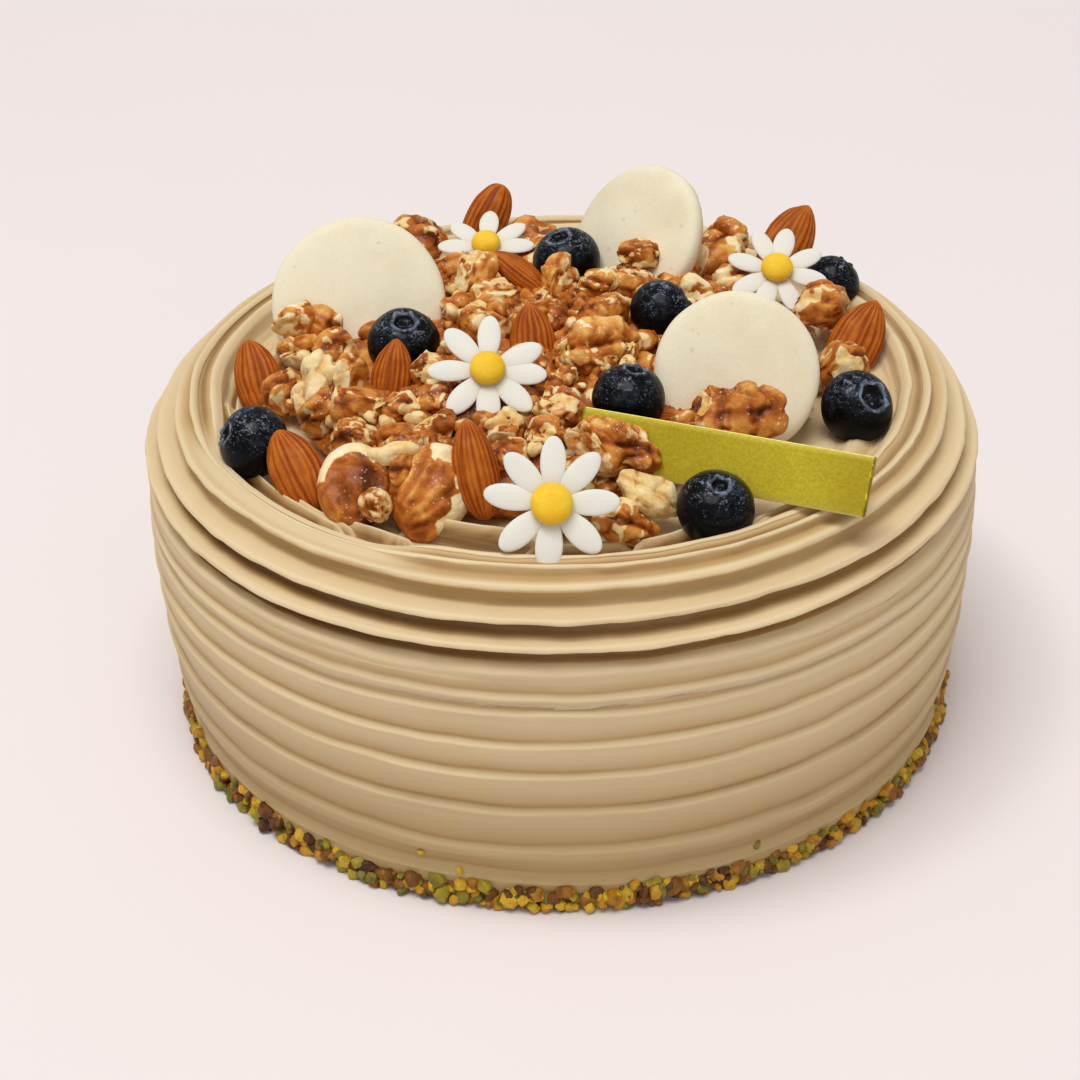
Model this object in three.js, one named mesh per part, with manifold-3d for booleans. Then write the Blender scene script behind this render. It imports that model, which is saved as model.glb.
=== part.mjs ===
// A round coffee walnut cake. A drum of icing with combed ridges down its side, a rim of stepped
// icing lips, chopped pistachio round the foot, and on top a heap of candied walnuts with
// macaron shells, blueberries, almonds, sugar daisies and a bare gold strip.
// Millimetres, +Z up, origin in the middle of the flat foot. The front is towards -Y.
import * as THREE from "three";
import { mergeVertices } from "three/addons/utils/BufferGeometryUtils.js";
import Module from "manifold-3d";

const wasm = await Module();
wasm.setup();

// ---- driving dimensions ----
const GAP = 0.3; // clear space between pieces that touch
const TURN = Math.PI * 2;
const RING_STEPS = 38; // facets round the cake
const FOOT_RADIUS = 95.1; // side radius where it meets the table
const SIDE_FLARE = 8.9; // how fast the side widens, per SIDE_SPAN of height
const SIDE_CURVE = 3.2; // how fast that flare dies away
const SIDE_SPAN = 40;
const FLOOR_HEIGHT = 80.6; // icing floor inside the rim
const INNER_WALL = [[81.8, 86.2], [80.6, 83.8]]; // radius and height, down from the lips
const STROKE_RADII = [78.4, 73.6, 68.6]; // rings of the floor that rise and fall
const CORE_RADIUS = 64; // foot of the walnut heap
const CORE_TOP = 97; // middle of the bare heap, before its pieces

// heights of the comb ridges' crests, and of the groove above each
const RIDGES = [
  { crest: 7.8, groove: 11.8, depth: 1 },
  { crest: 18.2, groove: 20, depth: 1.2 },
  { crest: 30.3, groove: 31.5, depth: 1.5 },
  { crest: 40.6, groove: 42, depth: 1.2 },
  { crest: 48.8, groove: 50.2, depth: 1.2 },
  { crest: 57.2, groove: 58.7, depth: 1 },
  { crest: 61.6, groove: 63.2, depth: 1 },
];

// stepped lips of the rim, outermost first: the groove under each, its edge and its rounded top
const LIPS = [
  { groove: [97.2, 71.8], edge: [101.3, 74.2], top: [100.4, 75.2] },
  { groove: [94.8, 77.0], edge: [98.3, 79.4], top: [97.4, 80.4] },
  { groove: [92.0, 82.2], edge: [93.4, 84.8], top: [92.5, 85.8] },
  { groove: [89.0, 85.8], edge: [89.1, 87.6], top: [87.8, 88.1] },
  { groove: [86.0, 86.6], edge: [84.4, 87.4], top: [83.0, 87.7] },
];

// ---- helpers ----
function seededRandom(seed) {
  let state = seed;
  return function next() {
    state = (state * 16807) % 2147483647;
    return state / 2147483647;
  };
}

function degrees(angle) {
  return (angle * Math.PI) / 180;
}

function solidFrom(geometry) {
  const bare = geometry.index ? geometry.toNonIndexed() : geometry.clone();
  bare.deleteAttribute("normal");
  bare.deleteAttribute("uv");
  const merged = mergeVertices(bare, 1e-4);
  const kept = [];
  const index = merged.index.array;
  for (let i = 0; i < index.length; i += 3) {
    const [a, b, c] = [index[i], index[i + 1], index[i + 2]];
    if (a !== b && b !== c && c !== a) {
      kept.push(a, b, c);
    }
  }
  return new wasm.Manifold(
    new wasm.Mesh({
      numProp: 3,
      vertProperties: Float32Array.from(merged.attributes.position.array),
      triVerts: Uint32Array.from(kept),
    }),
  );
}

function geometryFrom(solid) {
  const mesh = solid.getMesh();
  const geometry = new THREE.BufferGeometry();
  geometry.setAttribute("position", new THREE.BufferAttribute(Float32Array.from(mesh.vertProperties), 3));
  geometry.setIndex(new THREE.BufferAttribute(Uint32Array.from(mesh.triVerts), 1));
  return geometry;
}

// Moves every corner of a geometry by a function of its place.
function reshape(geometry, move) {
  const position = geometry.attributes.position;
  const corner = new THREE.Vector3();
  for (let i = 0; i < position.count; i += 1) {
    corner.fromBufferAttribute(position, i);
    move(corner);
    position.setXYZ(i, corner.x, corner.y, corner.z);
  }
  return geometry;
}

// Puts a piece in its place. Its own Z is turned to lean by tilt towards the compass angle facing,
// after a spin about that axis. A spin of 90 lays its own X level.
function placed(geometry, spot) {
  const turn = new THREE.Matrix4().makeRotationZ(degrees(spot.facing));
  turn.multiply(new THREE.Matrix4().makeRotationY(degrees(spot.tilt)));
  turn.multiply(new THREE.Matrix4().makeRotationZ(degrees(spot.spin)));
  turn.setPosition(...spot.at);
  return geometry.applyMatrix4(turn);
}

// A round solid whose outline is given from its lowest point to its highest, both on the axis.
function turned(outline, steps) {
  const points = outline.map(([radius, height]) => new THREE.Vector2(radius, height));
  const geometry = new THREE.LatheGeometry(points, steps);
  geometry.rotateX(Math.PI / 2);
  return geometry;
}

// ---- icing body ----
function sideRadius(height) {
  const share = height / SIDE_SPAN;
  return FOOT_RADIUS + SIDE_FLARE * share - SIDE_CURVE * share * share;
}

// The grooves under the lips gape fully at the front and less than half as far at the back.
function gape(angle) {
  return 0.72 - 0.28 * Math.sin(angle);
}

// The slow rise and fall of a hand-combed line, in millimetres.
function sway(angle, row) {
  return 0.35 * Math.sin(2 * angle + 0.9 * row) + 0.25 * Math.sin(5 * angle + 2.1 * row);
}

// One thick fold of icing at the front left: its compass angle and radius, how far it spreads in
// degrees and in millimetres, and how high it stands.
const BIG_FOLD = { facing: -108, radius: 69, spread: 10, across: 4, height: 4.4 };

// How far the spatula strokes stand above the floor between the heap and the wall. They are
// highest at the front.
function stroke(radius, angle) {
  const front = 0.5 - 0.5 * Math.sin(angle);
  const wave = Math.sin(9 * angle + 0.35 * radius) + 0.6 * Math.sin(14 * angle - 0.5 * radius + 1);
  const away = (degrees(BIG_FOLD.facing) - angle + TURN) % TURN;
  const turn = Math.min(away, TURN - away) / degrees(BIG_FOLD.spread);
  const across = (radius - BIG_FOLD.radius) / BIG_FOLD.across;
  const fold = BIG_FOLD.height * Math.exp(-turn * turn - across * across);
  return Math.max(fold, (1.0 + 0.8 * wave) * (0.6 + 0.9 * front));
}

// The outline of the icing at one compass angle, from the foot up and over to the floor.
function icingOutline(angle, grow) {
  const outline = [[FOOT_RADIUS - 0.6, 0]];
  RIDGES.forEach((ridge, row) => {
    const lift = 0.5 * sway(angle, row);
    const crest = ridge.crest + lift;
    const groove = ridge.groove + lift;
    outline.push([sideRadius(crest) - 0.2 + 0.3 * sway(angle, row + 3) + grow, crest]);
    outline.push([sideRadius(groove) - ridge.depth + grow, groove]);
  });
  LIPS.forEach((lip, row) => {
    const [edgeRadius, edgeHeight] = lip.edge;
    const open = gape(angle);
    const lift = 0.7 * sway(angle, row + 11);
    const reach = row === 0 ? 0 : 0.7 * sway(angle, row + 5);
    const grooveRadius = edgeRadius + (lip.groove[0] - edgeRadius) * open + reach;
    const grooveHeight = edgeHeight + (lip.groove[1] - edgeHeight) * (0.4 + 0.6 * open) + lift;
    outline.push([grooveRadius + grow, grooveHeight]);
    outline.push([edgeRadius + reach + grow, edgeHeight + lift + 0.3 * grow]);
    outline.push([lip.top[0] + reach, lip.top[1] + lift + grow]);
  });
  INNER_WALL.forEach(([radius, height]) => outline.push([radius - grow, height + grow]));
  STROKE_RADII.forEach((radius) => {
    outline.push([radius, FLOOR_HEIGHT + stroke(radius, angle) + grow]);
  });
  outline.push([CORE_RADIUS - 1, FLOOR_HEIGHT + grow]);
  return outline;
}

function icingBody(grow) {
  const rows = icingOutline(0, grow).length;
  const corners = [];
  for (let step = 0; step < RING_STEPS; step += 1) {
    const angle = (TURN * step) / RING_STEPS;
    icingOutline(angle, grow).forEach(([radius, height]) => {
      corners.push(radius * Math.cos(angle), radius * Math.sin(angle), height);
    });
  }
  const foot = corners.length / 3;
  const crown = foot + 1;
  corners.push(0, 0, 0, 0, 0, FLOOR_HEIGHT + grow);
  const faces = [];
  for (let step = 0; step < RING_STEPS; step += 1) {
    const here = step * rows;
    const next = ((step + 1) % RING_STEPS) * rows;
    faces.push(foot, next, here);
    for (let row = 0; row < rows - 1; row += 1) {
      faces.push(here + row, next + row, next + row + 1);
      faces.push(here + row, next + row + 1, here + row + 1);
    }
    faces.push(crown, here + rows - 1, next + rows - 1);
  }
  const geometry = new THREE.BufferGeometry();
  geometry.setAttribute("position", new THREE.BufferAttribute(Float32Array.from(corners), 3));
  geometry.setIndex(faces);
  return solidFrom(geometry);
}

// ---- chopped pistachio round the foot ----
const CRUMB_COUNT = 41;
const CRUMB_SEED = 71;
const CRUMB_SIZE = 1.7; // half the smallest crumb
const CRUMB_SPREAD = 0.9;
const CRUMB_PILE = 2.6; // how high the crumbs climb the side
const CRUMB_SUNK = 0.7; // how deep their middles sit in the icing

function pistachioCrumbs() {
  const random = seededRandom(CRUMB_SEED);
  const crumbs = [];
  for (let i = 0; i < CRUMB_COUNT; i += 1) {
    const angle = (TURN * (i + 0.7 * random())) / CRUMB_COUNT;
    const size = CRUMB_SIZE + CRUMB_SPREAD * random();
    const height = size + GAP + CRUMB_PILE * random() * random();
    const reach = sideRadius(height) + CRUMB_SUNK * (random() - 1);
    const crumb = new THREE.OctahedronGeometry(size, 0);
    crumb.scale(1.35, 1, 0.9);
    crumb.rotateX(TURN * random());
    crumb.rotateZ(TURN * random());
    crumb.translate(reach * Math.cos(angle), reach * Math.sin(angle), height);
    crumbs.push(solidFrom(crumb));
  }
  return crumbs;
}

// ---- toppings ----
// A macaron shell: a smooth low dome with a ruffled foot round its flat back.
const SHELL_THICKNESS = 7;
const SHELL_FACETS = 20;
const MACARON_SHELLS = [
  { name: "macaron_left", at: [-49, 18, 97.8], facing: -92, tilt: 54, spin: 0, across: 43 },
  { name: "macaron_back", at: [20.5, 47, 99.5], facing: -142, tilt: 54, spin: 0, across: 40 },
  { name: "macaron_right", at: [41, -20.5, 96.8], facing: -88, tilt: 56, spin: 0, across: 39 },
];

function macaronShell(spot, grow) {
  const radius = spot.across / 2 + grow;
  const back = -SHELL_THICKNESS * 0.5 - grow;
  const front = SHELL_THICKNESS * 0.5 + grow;
  const outline = [
    [0, back],
    [radius * 0.95, back],
    [radius, back * 0.2],
    [radius * 0.92, front * 0.5],
    [radius * 0.6, front * 0.88],
    [0, front],
  ];
  return placed(turned(outline, SHELL_FACETS), spot);
}

// A blueberry: slightly flat, with a five-pointed crown round a dimple.
const BLUEBERRIES = [
  { name: "blueberry_left", at: [-70.8, -36.4, 90.4], facing: -165, tilt: 62, spin: 0, across: 17 },
  { name: "blueberry_shell", at: [-37.4, -0.4, 96.2], facing: -78, tilt: 18, spin: 0, across: 17.6 },
  { name: "blueberry_back", at: [2.6, 44, 96], facing: -150, tilt: 18, spin: 0, across: 17.4 },
  { name: "blueberry_middle", at: [25, 8, 98.6], facing: 15, tilt: 62, spin: 0, across: 16.4 },
  { name: "blueberry_strip", at: [15.3, -31.4, 97], facing: 27, tilt: 13, spin: 0, across: 17 },
  { name: "blueberry_right", at: [69.3, -21.6, 88], facing: -50, tilt: 46, spin: 0, across: 17.2 },
  { name: "blueberry_hidden", at: [70, 40, 90], facing: 40, tilt: 50, spin: 0, across: 14.4 },
  { name: "blueberry_front", at: [33, -67, 88.8], facing: -73, tilt: 18, spin: 0, across: 17.4 },
];
const BERRY_FACETS = 10;

function blueberry(spot, grow) {
  const radius = spot.across / 2 + grow;
  const outline = [
    [0, -0.86],
    [0.72, -0.6],
    [1, 0.04],
    [0.86, 0.5],
    [0.54, 0.79],
    [0.4, 0.93],
    [0.25, 0.76],
    [0, 0.72],
  ];
  const berry = turned(outline, BERRY_FACETS);
  reshape(berry, (corner) => {
    const reach = Math.hypot(corner.x, corner.y);
    if (corner.z > 0.9) {
      const point = 1 + 0.14 * Math.sin(5 * Math.atan2(corner.y, corner.x));
      corner.x *= point;
      corner.y *= point;
      corner.z -= reach * 0.05 * (1 - point);
    }
  });
  berry.scale(radius, radius, radius);
  return placed(berry, spot);
}

// An almond: a flattened drop with its tip along its own +X.
const ALMONDS = [
  { name: "almond_left", at: [-73, -2, 88.4], facing: -108, tilt: 52, spin: 206, size: [20, 11.5, 7.5] },
  {
    name: "almond_front_left", at: [-60.4, -47.2, 88.9], facing: -100,
    tilt: 52, spin: 212, size: [21, 12.4, 8],
  },
  { name: "almond_shell", at: [-39.8, -14, 94.6], facing: -100, tilt: 60, spin: 176, size: [18, 10, 7] },
  {
    name: "almond_front", at: [-19.6, -57.6, 94.4], facing: -78,
    tilt: 58, spin: 184, size: [23, 10.4, 8],
  },
  { name: "almond_back", at: [-18.5, 76, 92], facing: -84, tilt: 64, spin: 330, size: [22, 11.5, 7.5] },
  { name: "almond_heap", at: [-6.5, -3, 97.5], facing: -95, tilt: 60, spin: 188, size: [18, 11, 7] },
  { name: "almond_dark", at: [-9.5, 32.4, 98.2], facing: -80, tilt: 45, spin: 224, size: [17, 7.4, 6.2] },
  {
    name: "almond_back_right", at: [60.5, 61, 91], facing: -84,
    tilt: 64, spin: 147, size: [23, 13, 7.5],
  },
  { name: "almond_right", at: [73.2, 12.4, 87.6], facing: -90, tilt: 58, spin: 152, size: [22, 13, 7.5] },
  { name: "almond_strip", at: [18.6, -33.2, 91.2], facing: -90, tilt: 50, spin: 100, size: [16, 9.4, 7] },
];
const ALMOND_FACETS = 8;

function almond(spot, grow) {
  const outline = [
    [0, -1],
    [0.5, -0.88],
    [0.88, -0.52],
    [1, -0.1],
    [0.86, 0.34],
    [0.5, 0.74],
    [0, 1],
  ];
  const kernel = turned(outline, ALMOND_FACETS);
  kernel.rotateY(Math.PI / 2);
  const [length, width, thickness] = spot.size;
  kernel.scale(length / 2 + grow, width / 2 + grow, thickness / 2 + grow);
  return placed(kernel, spot);
}

// A sugar daisy: eight petals in one piece, with a domed heart on top.
const DAISIES = [
  { name: "daisy_front", at: [-3, -76.5, 96.3], facing: -90, tilt: 54, spin: 0, across: 30, heart: 9.2 },
  { name: "daisy_middle", at: [-17, -25, 101.5], facing: -88, tilt: 40, spin: 0, across: 28, heart: 8.2 },
  { name: "daisy_back", at: [-18, 53, 95.8], facing: -92, tilt: 22, spin: 0, across: 25, heart: 7.4 },
  { name: "daisy_right", at: [55, 33, 97], facing: -86, tilt: 32, spin: 22, across: 26, heart: 8 },
];
const PETALS = 8;
const PETAL_THICKNESS = 1.5;
const HEART_FACETS = 9;

function daisyPetals(spot, grow) {
  const outline = [];
  const halfPetal = [
    [0, 1],
    [12, 0.86],
    [18, 0.55],
    [22.5, 0.26],
    [27, 0.55],
    [33, 0.86],
  ];
  for (let petal = 0; petal < PETALS; petal += 1) {
    halfPetal.forEach(([turn, reach]) => {
      const angle = degrees((petal * 360) / PETALS + turn);
      const radius = (spot.across / 2) * reach + grow;
      outline.push(new THREE.Vector2(radius * Math.cos(angle), radius * Math.sin(angle)));
    });
  }
  const depth = PETAL_THICKNESS + 2 * grow;
  const flower = new THREE.ExtrudeGeometry(new THREE.Shape(outline), { depth, bevelEnabled: false });
  flower.translate(0, 0, -depth / 2);
  return placed(flower, spot);
}

function daisyHeart(spot, grow) {
  const radius = spot.heart / 2 + grow;
  const base = PETAL_THICKNESS / 2 + GAP + 0.1 - grow;
  const outline = [
    [0, base],
    [radius, base],
    [radius * 0.8, base + radius * 0.6],
    [0, base + radius * 0.9],
  ];
  return placed(turned(outline, HEART_FACETS), spot);
}

// A bare gold strip that stands in the icing and leans back on the heap.
const GOLD_STRIP = { name: "gold_strip", at: [35, -56.6, 94.5], facing: -112, tilt: 55, spin: 90 };
const STRIP_SIZE = [68, 13.5, 0.9];

function goldStrip(grow) {
  const [length, width, thickness] = STRIP_SIZE;
  const strip = new THREE.BoxGeometry(length + 2 * grow, width + 2 * grow, thickness + 2 * grow);
  return placed(strip, GOLD_STRIP);
}

// ---- walnuts ----
// A walnut kernel or a broken piece of one: a lump with a cleft between two lobes and a few folds.
function walnut(spot, grow, lump) {
  const nut = lump.clone();
  const phase = spot.at[0] * 0.7 + spot.at[1] * 0.3;
  reshape(nut, (corner) => {
    const cleft = 0.24 * Math.exp(-((corner.y / 0.3) ** 2)) * Math.max(0, 0.35 + corner.z);
    const folds = 0.09 * Math.sin(6 * corner.x + phase) * Math.cos(5 * corner.y - phase);
    const knobs = 0.07 * Math.sin(7 * corner.z + 4 * corner.x + 2 * phase);
    corner.multiplyScalar(1 - cleft + folds + knobs);
  });
  const [length, width, thickness] = spot.size;
  nut.scale(length / 2 + grow, width / 2 + grow, thickness / 2 + grow);
  return placed(nut, spot);
}

const PLAIN_LUMP = new THREE.IcosahedronGeometry(1, 1);
const ROUGH_LUMP = new THREE.IcosahedronGeometry(1, 0);
const SMALL_LUMP = turned([[0, -1], [0.75, -0.66], [1, 0], [0.75, 0.66], [0, 1]], 5).rotateY(Math.PI / 2);

// The opened walnut at the front left: two lobes, with a nub, a nut and a cream rim between them.
// Each part's middle and size are in the walnut's own frame.
const OPEN_WALNUT = "walnut_front_left";
const OPEN_PARTS = [
  { lump: PLAIN_LUMP, shift: [-8.7, 0.6, -0.4], size: [18.4, 21, 13] },
  { lump: PLAIN_LUMP, shift: [8, -0.8, -0.6], size: [19, 24, 14] },
  { lump: ROUGH_LUMP, shift: [-3.5, -4.9, 3.7], size: [7.4, 8.4, 7] },
  { lump: ROUGH_LUMP, shift: [2.6, 3.2, 3.6], size: [7.2, 8.6, 7] },
  { lump: ROUGH_LUMP, shift: [0.4, 7, 3.4], size: [12, 4.8, 6] },
];

function openWalnut(spot, grow) {
  const parts = OPEN_PARTS.map((part) => {
    const lump = part.lump.clone();
    lump.scale(...part.size.map((side) => side / 2 + grow));
    lump.translate(...part.shift);
    return solidFrom(placed(lump, spot));
  });
  return parts.reduce((sum, part) => sum.add(part));
}

// Large walnuts that lie clear of the rest.
const LARGE_WALNUTS = [
  {
    name: "walnut_front_left", at: [-38, -57, 89.5], facing: -95,
    tilt: 45, spin: 92, size: [34, 24, 15],
  },
  { name: "walnut_middle", at: [8.5, -12, 99.5], facing: -90, tilt: 40, spin: 100, size: [25, 14, 12] },
  { name: "walnut_right", at: [40.2, -36, 95], facing: -95, tilt: 55, spin: 86, size: [23, 16, 9] },
  {
    name: "walnut_front_ridge", at: [11, -51.5, 95.5], facing: -80,
    tilt: 40, spin: 70, size: [23, 12, 11],
  },
  {
    name: "walnut_front_pale", at: [18.8, -63, 89.8], facing: -70,
    tilt: 50, spin: 50, size: [18, 9.5, 9],
  },
  { name: "walnut_front_low", at: [12.5, -70, 87], facing: -80, tilt: 45, spin: 60, size: [16, 10, 10] },
  { name: "walnut_left_pale", at: [-58, -13, 92.8], facing: -100, tilt: 50, spin: 162, size: [17, 9, 8] },
  { name: "walnut_left_high", at: [-64, 8, 98], facing: -110, tilt: 50, spin: 140, size: [13, 9, 8] },
  { name: "walnut_left_low", at: [-66, -9, 88.5], facing: -110, tilt: 40, spin: 140, size: [13, 11, 13] },
  {
    name: "walnut_back_left", at: [-36.4, 60, 95.8], facing: -100,
    tilt: 50, spin: 95, size: [19, 14, 11],
  },
  { name: "walnut_back", at: [21, 36, 101], facing: -90, tilt: 35, spin: 95, size: [13, 9, 8] },
  {
    name: "walnut_right_edge", at: [65.5, 22, 92.6], facing: -70,
    tilt: 45, spin: 70, size: [17, 13, 11],
  },
  { name: "walnut_right_low", at: [68, -4, 89.5], facing: -80, tilt: 35, spin: 95, size: [15, 11, 14] },
];

// Smaller walnuts fused to the heap, from the left and front round to the back.
const HEAP_WALNUTS = [
  { at: [-57, 9, 97], tilt: 40, spin: 60, size: [12, 8, 8] },
  { at: [-62.5, 4, 90.5], tilt: 40, spin: 90, size: [13, 11, 14] },
  { at: [-54, 1, 95.5], tilt: 40, spin: 120, size: [11, 10, 8] },
  { at: [-50, -14, 95], tilt: 40, spin: 140, size: [10, 9, 9] },
  { at: [-31, -16, 97], tilt: 35, spin: 80, size: [11, 9, 8] },
  { at: [-29, -27, 96], tilt: 35, spin: 100, size: [11, 9, 8] },
  { at: [-48, -26, 94], tilt: 40, spin: 90, size: [13, 10, 9] },
  { at: [-56, -22, 90], tilt: 40, spin: 120, size: [13, 11, 11] },
  { at: [-38, -30, 95], tilt: 40, spin: 90, size: [11, 9, 8] },
  { at: [-29, -40, 94], tilt: 40, spin: 60, size: [10, 9, 8] },
  { at: [-47, -37, 91.5], tilt: 45, spin: 95, size: [12, 9, 8] },
  { at: [-36, -42, 93], tilt: 40, spin: 90, size: [13, 9, 8] },
  { at: [-23, -32, 96], tilt: 35, spin: 90, size: [10, 9, 8] },
  { at: [-13, -42, 95], tilt: 40, spin: 95, size: [12, 9, 9] },
  { at: [-12, -50, 92.5], tilt: 45, spin: 80, size: [12, 10, 9] },
  { at: [-4, -45, 95], tilt: 40, spin: 70, size: [11, 9, 9] },
  { at: [0, -34, 96], tilt: 35, spin: 110, size: [13, 10, 9] },
  { at: [1, -56, 91.5], tilt: 45, spin: 95, size: [14, 11, 10] },
  { at: [1, -62, 87.5], tilt: 40, spin: 95, size: [15, 13, 16] },
  { at: [28, -38, 90.5], tilt: 40, spin: 120, size: [12, 10, 14] },
  { at: [-21, 29, 99.6], tilt: 30, spin: 150, size: [15, 11, 10] },
  { at: [-16, 18, 99], tilt: 30, spin: 110, size: [15, 9, 9] },
  { at: [-18, 3, 99], tilt: 30, spin: 80, size: [15, 10, 9] },
  { at: [-4, 9, 99], tilt: 30, spin: 90, size: [11, 9, 9] },
  { at: [0, 29, 98.5], tilt: 45, spin: 170, size: [12, 9, 9] },
  { at: [10, 23, 98.5], tilt: 30, spin: 60, size: [11, 9, 9] },
  { at: [10, 7, 99.5], tilt: 30, spin: 95, size: [15, 10, 10] },
  { at: [-8, -14, 97.5], tilt: 35, spin: 120, size: [12, 10, 9] },
  { at: [-28, 40, 95], tilt: 25, spin: 100, size: [14, 11, 10] },
  { at: [-6, 53, 93.5], tilt: 30, spin: 120, size: [13, 10, 9] },
  { at: [-5, 63, 91], tilt: 20, spin: 90, size: [17, 14, 16] },
  { at: [19, 26, 98], tilt: 30, spin: 80, size: [15, 9, 9] },
  { at: [32, 22, 96], tilt: 30, spin: 60, size: [14, 10, 9] },
  { at: [44, 36, 93], tilt: 35, spin: 110, size: [13, 10, 9] },
  { at: [39.5, 50, 91], tilt: 30, spin: 150, size: [19, 15, 17] },
  { at: [43, 57, 93.5], tilt: 30, spin: 60, size: [15, 14, 15] },
  { at: [54, 22, 90], tilt: 40, spin: 90, size: [14, 10, 13] },
  { at: [-55, 36, 87], tilt: 20, spin: 80, size: [15, 12, 12] },
  { at: [-44, 46, 88], tilt: 20, spin: 95, size: [15, 12, 12] },
  { at: [22, 63, 88], tilt: 10, spin: 95, size: [16, 13, 13] },
];
const HEAP_FACING = -92;

// The bare heap: a low dome on the icing floor, that stops short of the strip on the right.
const CORE_FACETS = 18;
const CORE_BAY = { facing: -38, depth: 0.22 };

function heapCore() {
  const base = FLOOR_HEIGHT + GAP + 0.1;
  const rise = CORE_TOP - base;
  const outline = [
    [0, base],
    [CORE_RADIUS - 3, base],
    [CORE_RADIUS, base + rise * 0.25],
    [CORE_RADIUS * 0.84, base + rise * 0.68],
    [CORE_RADIUS * 0.45, base + rise * 0.95],
    [0, CORE_TOP],
  ];
  const core = turned(outline, CORE_FACETS);
  reshape(core, (corner) => {
    const angle = Math.atan2(corner.y, corner.x) - degrees(CORE_BAY.facing);
    const reach = 1 - CORE_BAY.depth * Math.max(0, Math.cos(angle)) ** 2;
    corner.x *= reach;
    corner.y *= reach;
  });
  return solidFrom(core);
}

// ---- the pieces and how they sit against each other ----
const cake = new THREE.Group();

const finishes = {
  icing: new THREE.MeshStandardMaterial({ color: 0xcdb690, roughness: 0.62, metalness: 0 }),
  macaron: new THREE.MeshStandardMaterial({ color: 0xe6dcc1, roughness: 0.7, metalness: 0 }),
  berry: new THREE.MeshStandardMaterial({ color: 0x1b2029, roughness: 0.42, metalness: 0 }),
  almond: new THREE.MeshStandardMaterial({ color: 0xa4521f, roughness: 0.55, metalness: 0 }),
  walnut: new THREE.MeshStandardMaterial({ color: 0x9a5a2a, roughness: 0.3, metalness: 0 }),
  petal: new THREE.MeshStandardMaterial({ color: 0xe6e4dc, roughness: 0.6, metalness: 0 }),
  heart: new THREE.MeshStandardMaterial({ color: 0xf2c02a, roughness: 0.6, metalness: 0 }),
  gold: new THREE.MeshStandardMaterial({ color: 0xb4a32e, roughness: 0.35, metalness: 0.8 }),
};

// Every loose topping, the firmest first. A later one gives way where two would cross.
const toppings = [];

function addTopping(name, finish, make) {
  toppings.push({ name, finish, solid: make(0), room: make(GAP) });
}

// The same for a topping that is made as one closed surface.
function addSimple(name, finish, make) {
  addTopping(name, finish, (grow) => solidFrom(make(grow)));
}

addSimple(GOLD_STRIP.name, finishes.gold, (grow) => goldStrip(grow));
DAISIES.forEach((spot) => {
  addSimple(`${spot.name}_petals`, finishes.petal, (grow) => daisyPetals(spot, grow));
  addSimple(`${spot.name}_heart`, finishes.heart, (grow) => daisyHeart(spot, grow));
});
BLUEBERRIES.forEach((spot) => addSimple(spot.name, finishes.berry, (grow) => blueberry(spot, grow)));
ALMONDS.forEach((spot) => addSimple(spot.name, finishes.almond, (grow) => almond(spot, grow)));
MACARON_SHELLS.forEach((spot) => {
  addSimple(spot.name, finishes.macaron, (grow) => macaronShell(spot, grow));
});
LARGE_WALNUTS.forEach((spot) => {
  if (spot.name === OPEN_WALNUT) {
    addTopping(spot.name, finishes.walnut, (grow) => openWalnut(spot, grow));
    return;
  }
  addSimple(spot.name, finishes.walnut, (grow) => walnut(spot, grow, PLAIN_LUMP));
});

toppings.forEach((topping, place) => {
  toppings.slice(0, place).forEach((firmer) => {
    if (topping.solid.intersect(firmer.room).volume() > 0) {
      topping.solid = topping.solid.subtract(firmer.room);
    }
  });
});

function makeRoom(solid) {
  return toppings.reduce((left, topping) => {
    return left.intersect(topping.room).volume() > 0 ? left.subtract(topping.room) : left;
  }, solid);
}

// Keeps the one large body where a cut has left scraps.
function largest(solid) {
  return solid.decompose().reduce((best, piece) => (piece.volume() > best.volume() ? piece : best));
}

const heap = HEAP_WALNUTS.reduce((sum, spot) => {
  return sum.add(solidFrom(walnut({ ...spot, facing: HEAP_FACING }, 0, SMALL_LUMP)));
}, heapCore());
const icing = pistachioCrumbs().reduce((sum, crumb) => sum.add(crumb), icingBody(0));

function addMesh(name, solid, finish) {
  const mesh = new THREE.Mesh(geometryFrom(largest(solid)), finish);
  mesh.name = name;
  cake.add(mesh);
}

addMesh("cake", makeRoom(icing), finishes.icing);
addMesh("walnut_heap", makeRoom(heap.subtract(icingBody(GAP))), finishes.walnut);
toppings.forEach((topping) => addMesh(topping.name, topping.solid, topping.finish));

export default cake;
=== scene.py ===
import math

import bmesh
import bpy
import numpy as np
from mathutils import Matrix, Vector


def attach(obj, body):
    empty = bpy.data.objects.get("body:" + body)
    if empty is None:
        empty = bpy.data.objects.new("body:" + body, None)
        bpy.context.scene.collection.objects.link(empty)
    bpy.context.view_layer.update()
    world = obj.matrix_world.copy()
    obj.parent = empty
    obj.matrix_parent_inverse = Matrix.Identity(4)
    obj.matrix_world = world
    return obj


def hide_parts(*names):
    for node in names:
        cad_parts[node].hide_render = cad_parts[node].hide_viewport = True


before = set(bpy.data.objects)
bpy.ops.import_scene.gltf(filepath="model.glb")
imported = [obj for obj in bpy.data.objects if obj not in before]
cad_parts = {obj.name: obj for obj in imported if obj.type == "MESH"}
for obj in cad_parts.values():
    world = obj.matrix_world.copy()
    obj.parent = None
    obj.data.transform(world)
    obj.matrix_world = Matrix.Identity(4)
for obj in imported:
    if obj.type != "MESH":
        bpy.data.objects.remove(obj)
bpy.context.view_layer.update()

MM = 0.001
TURN = 2 * math.pi


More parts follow.
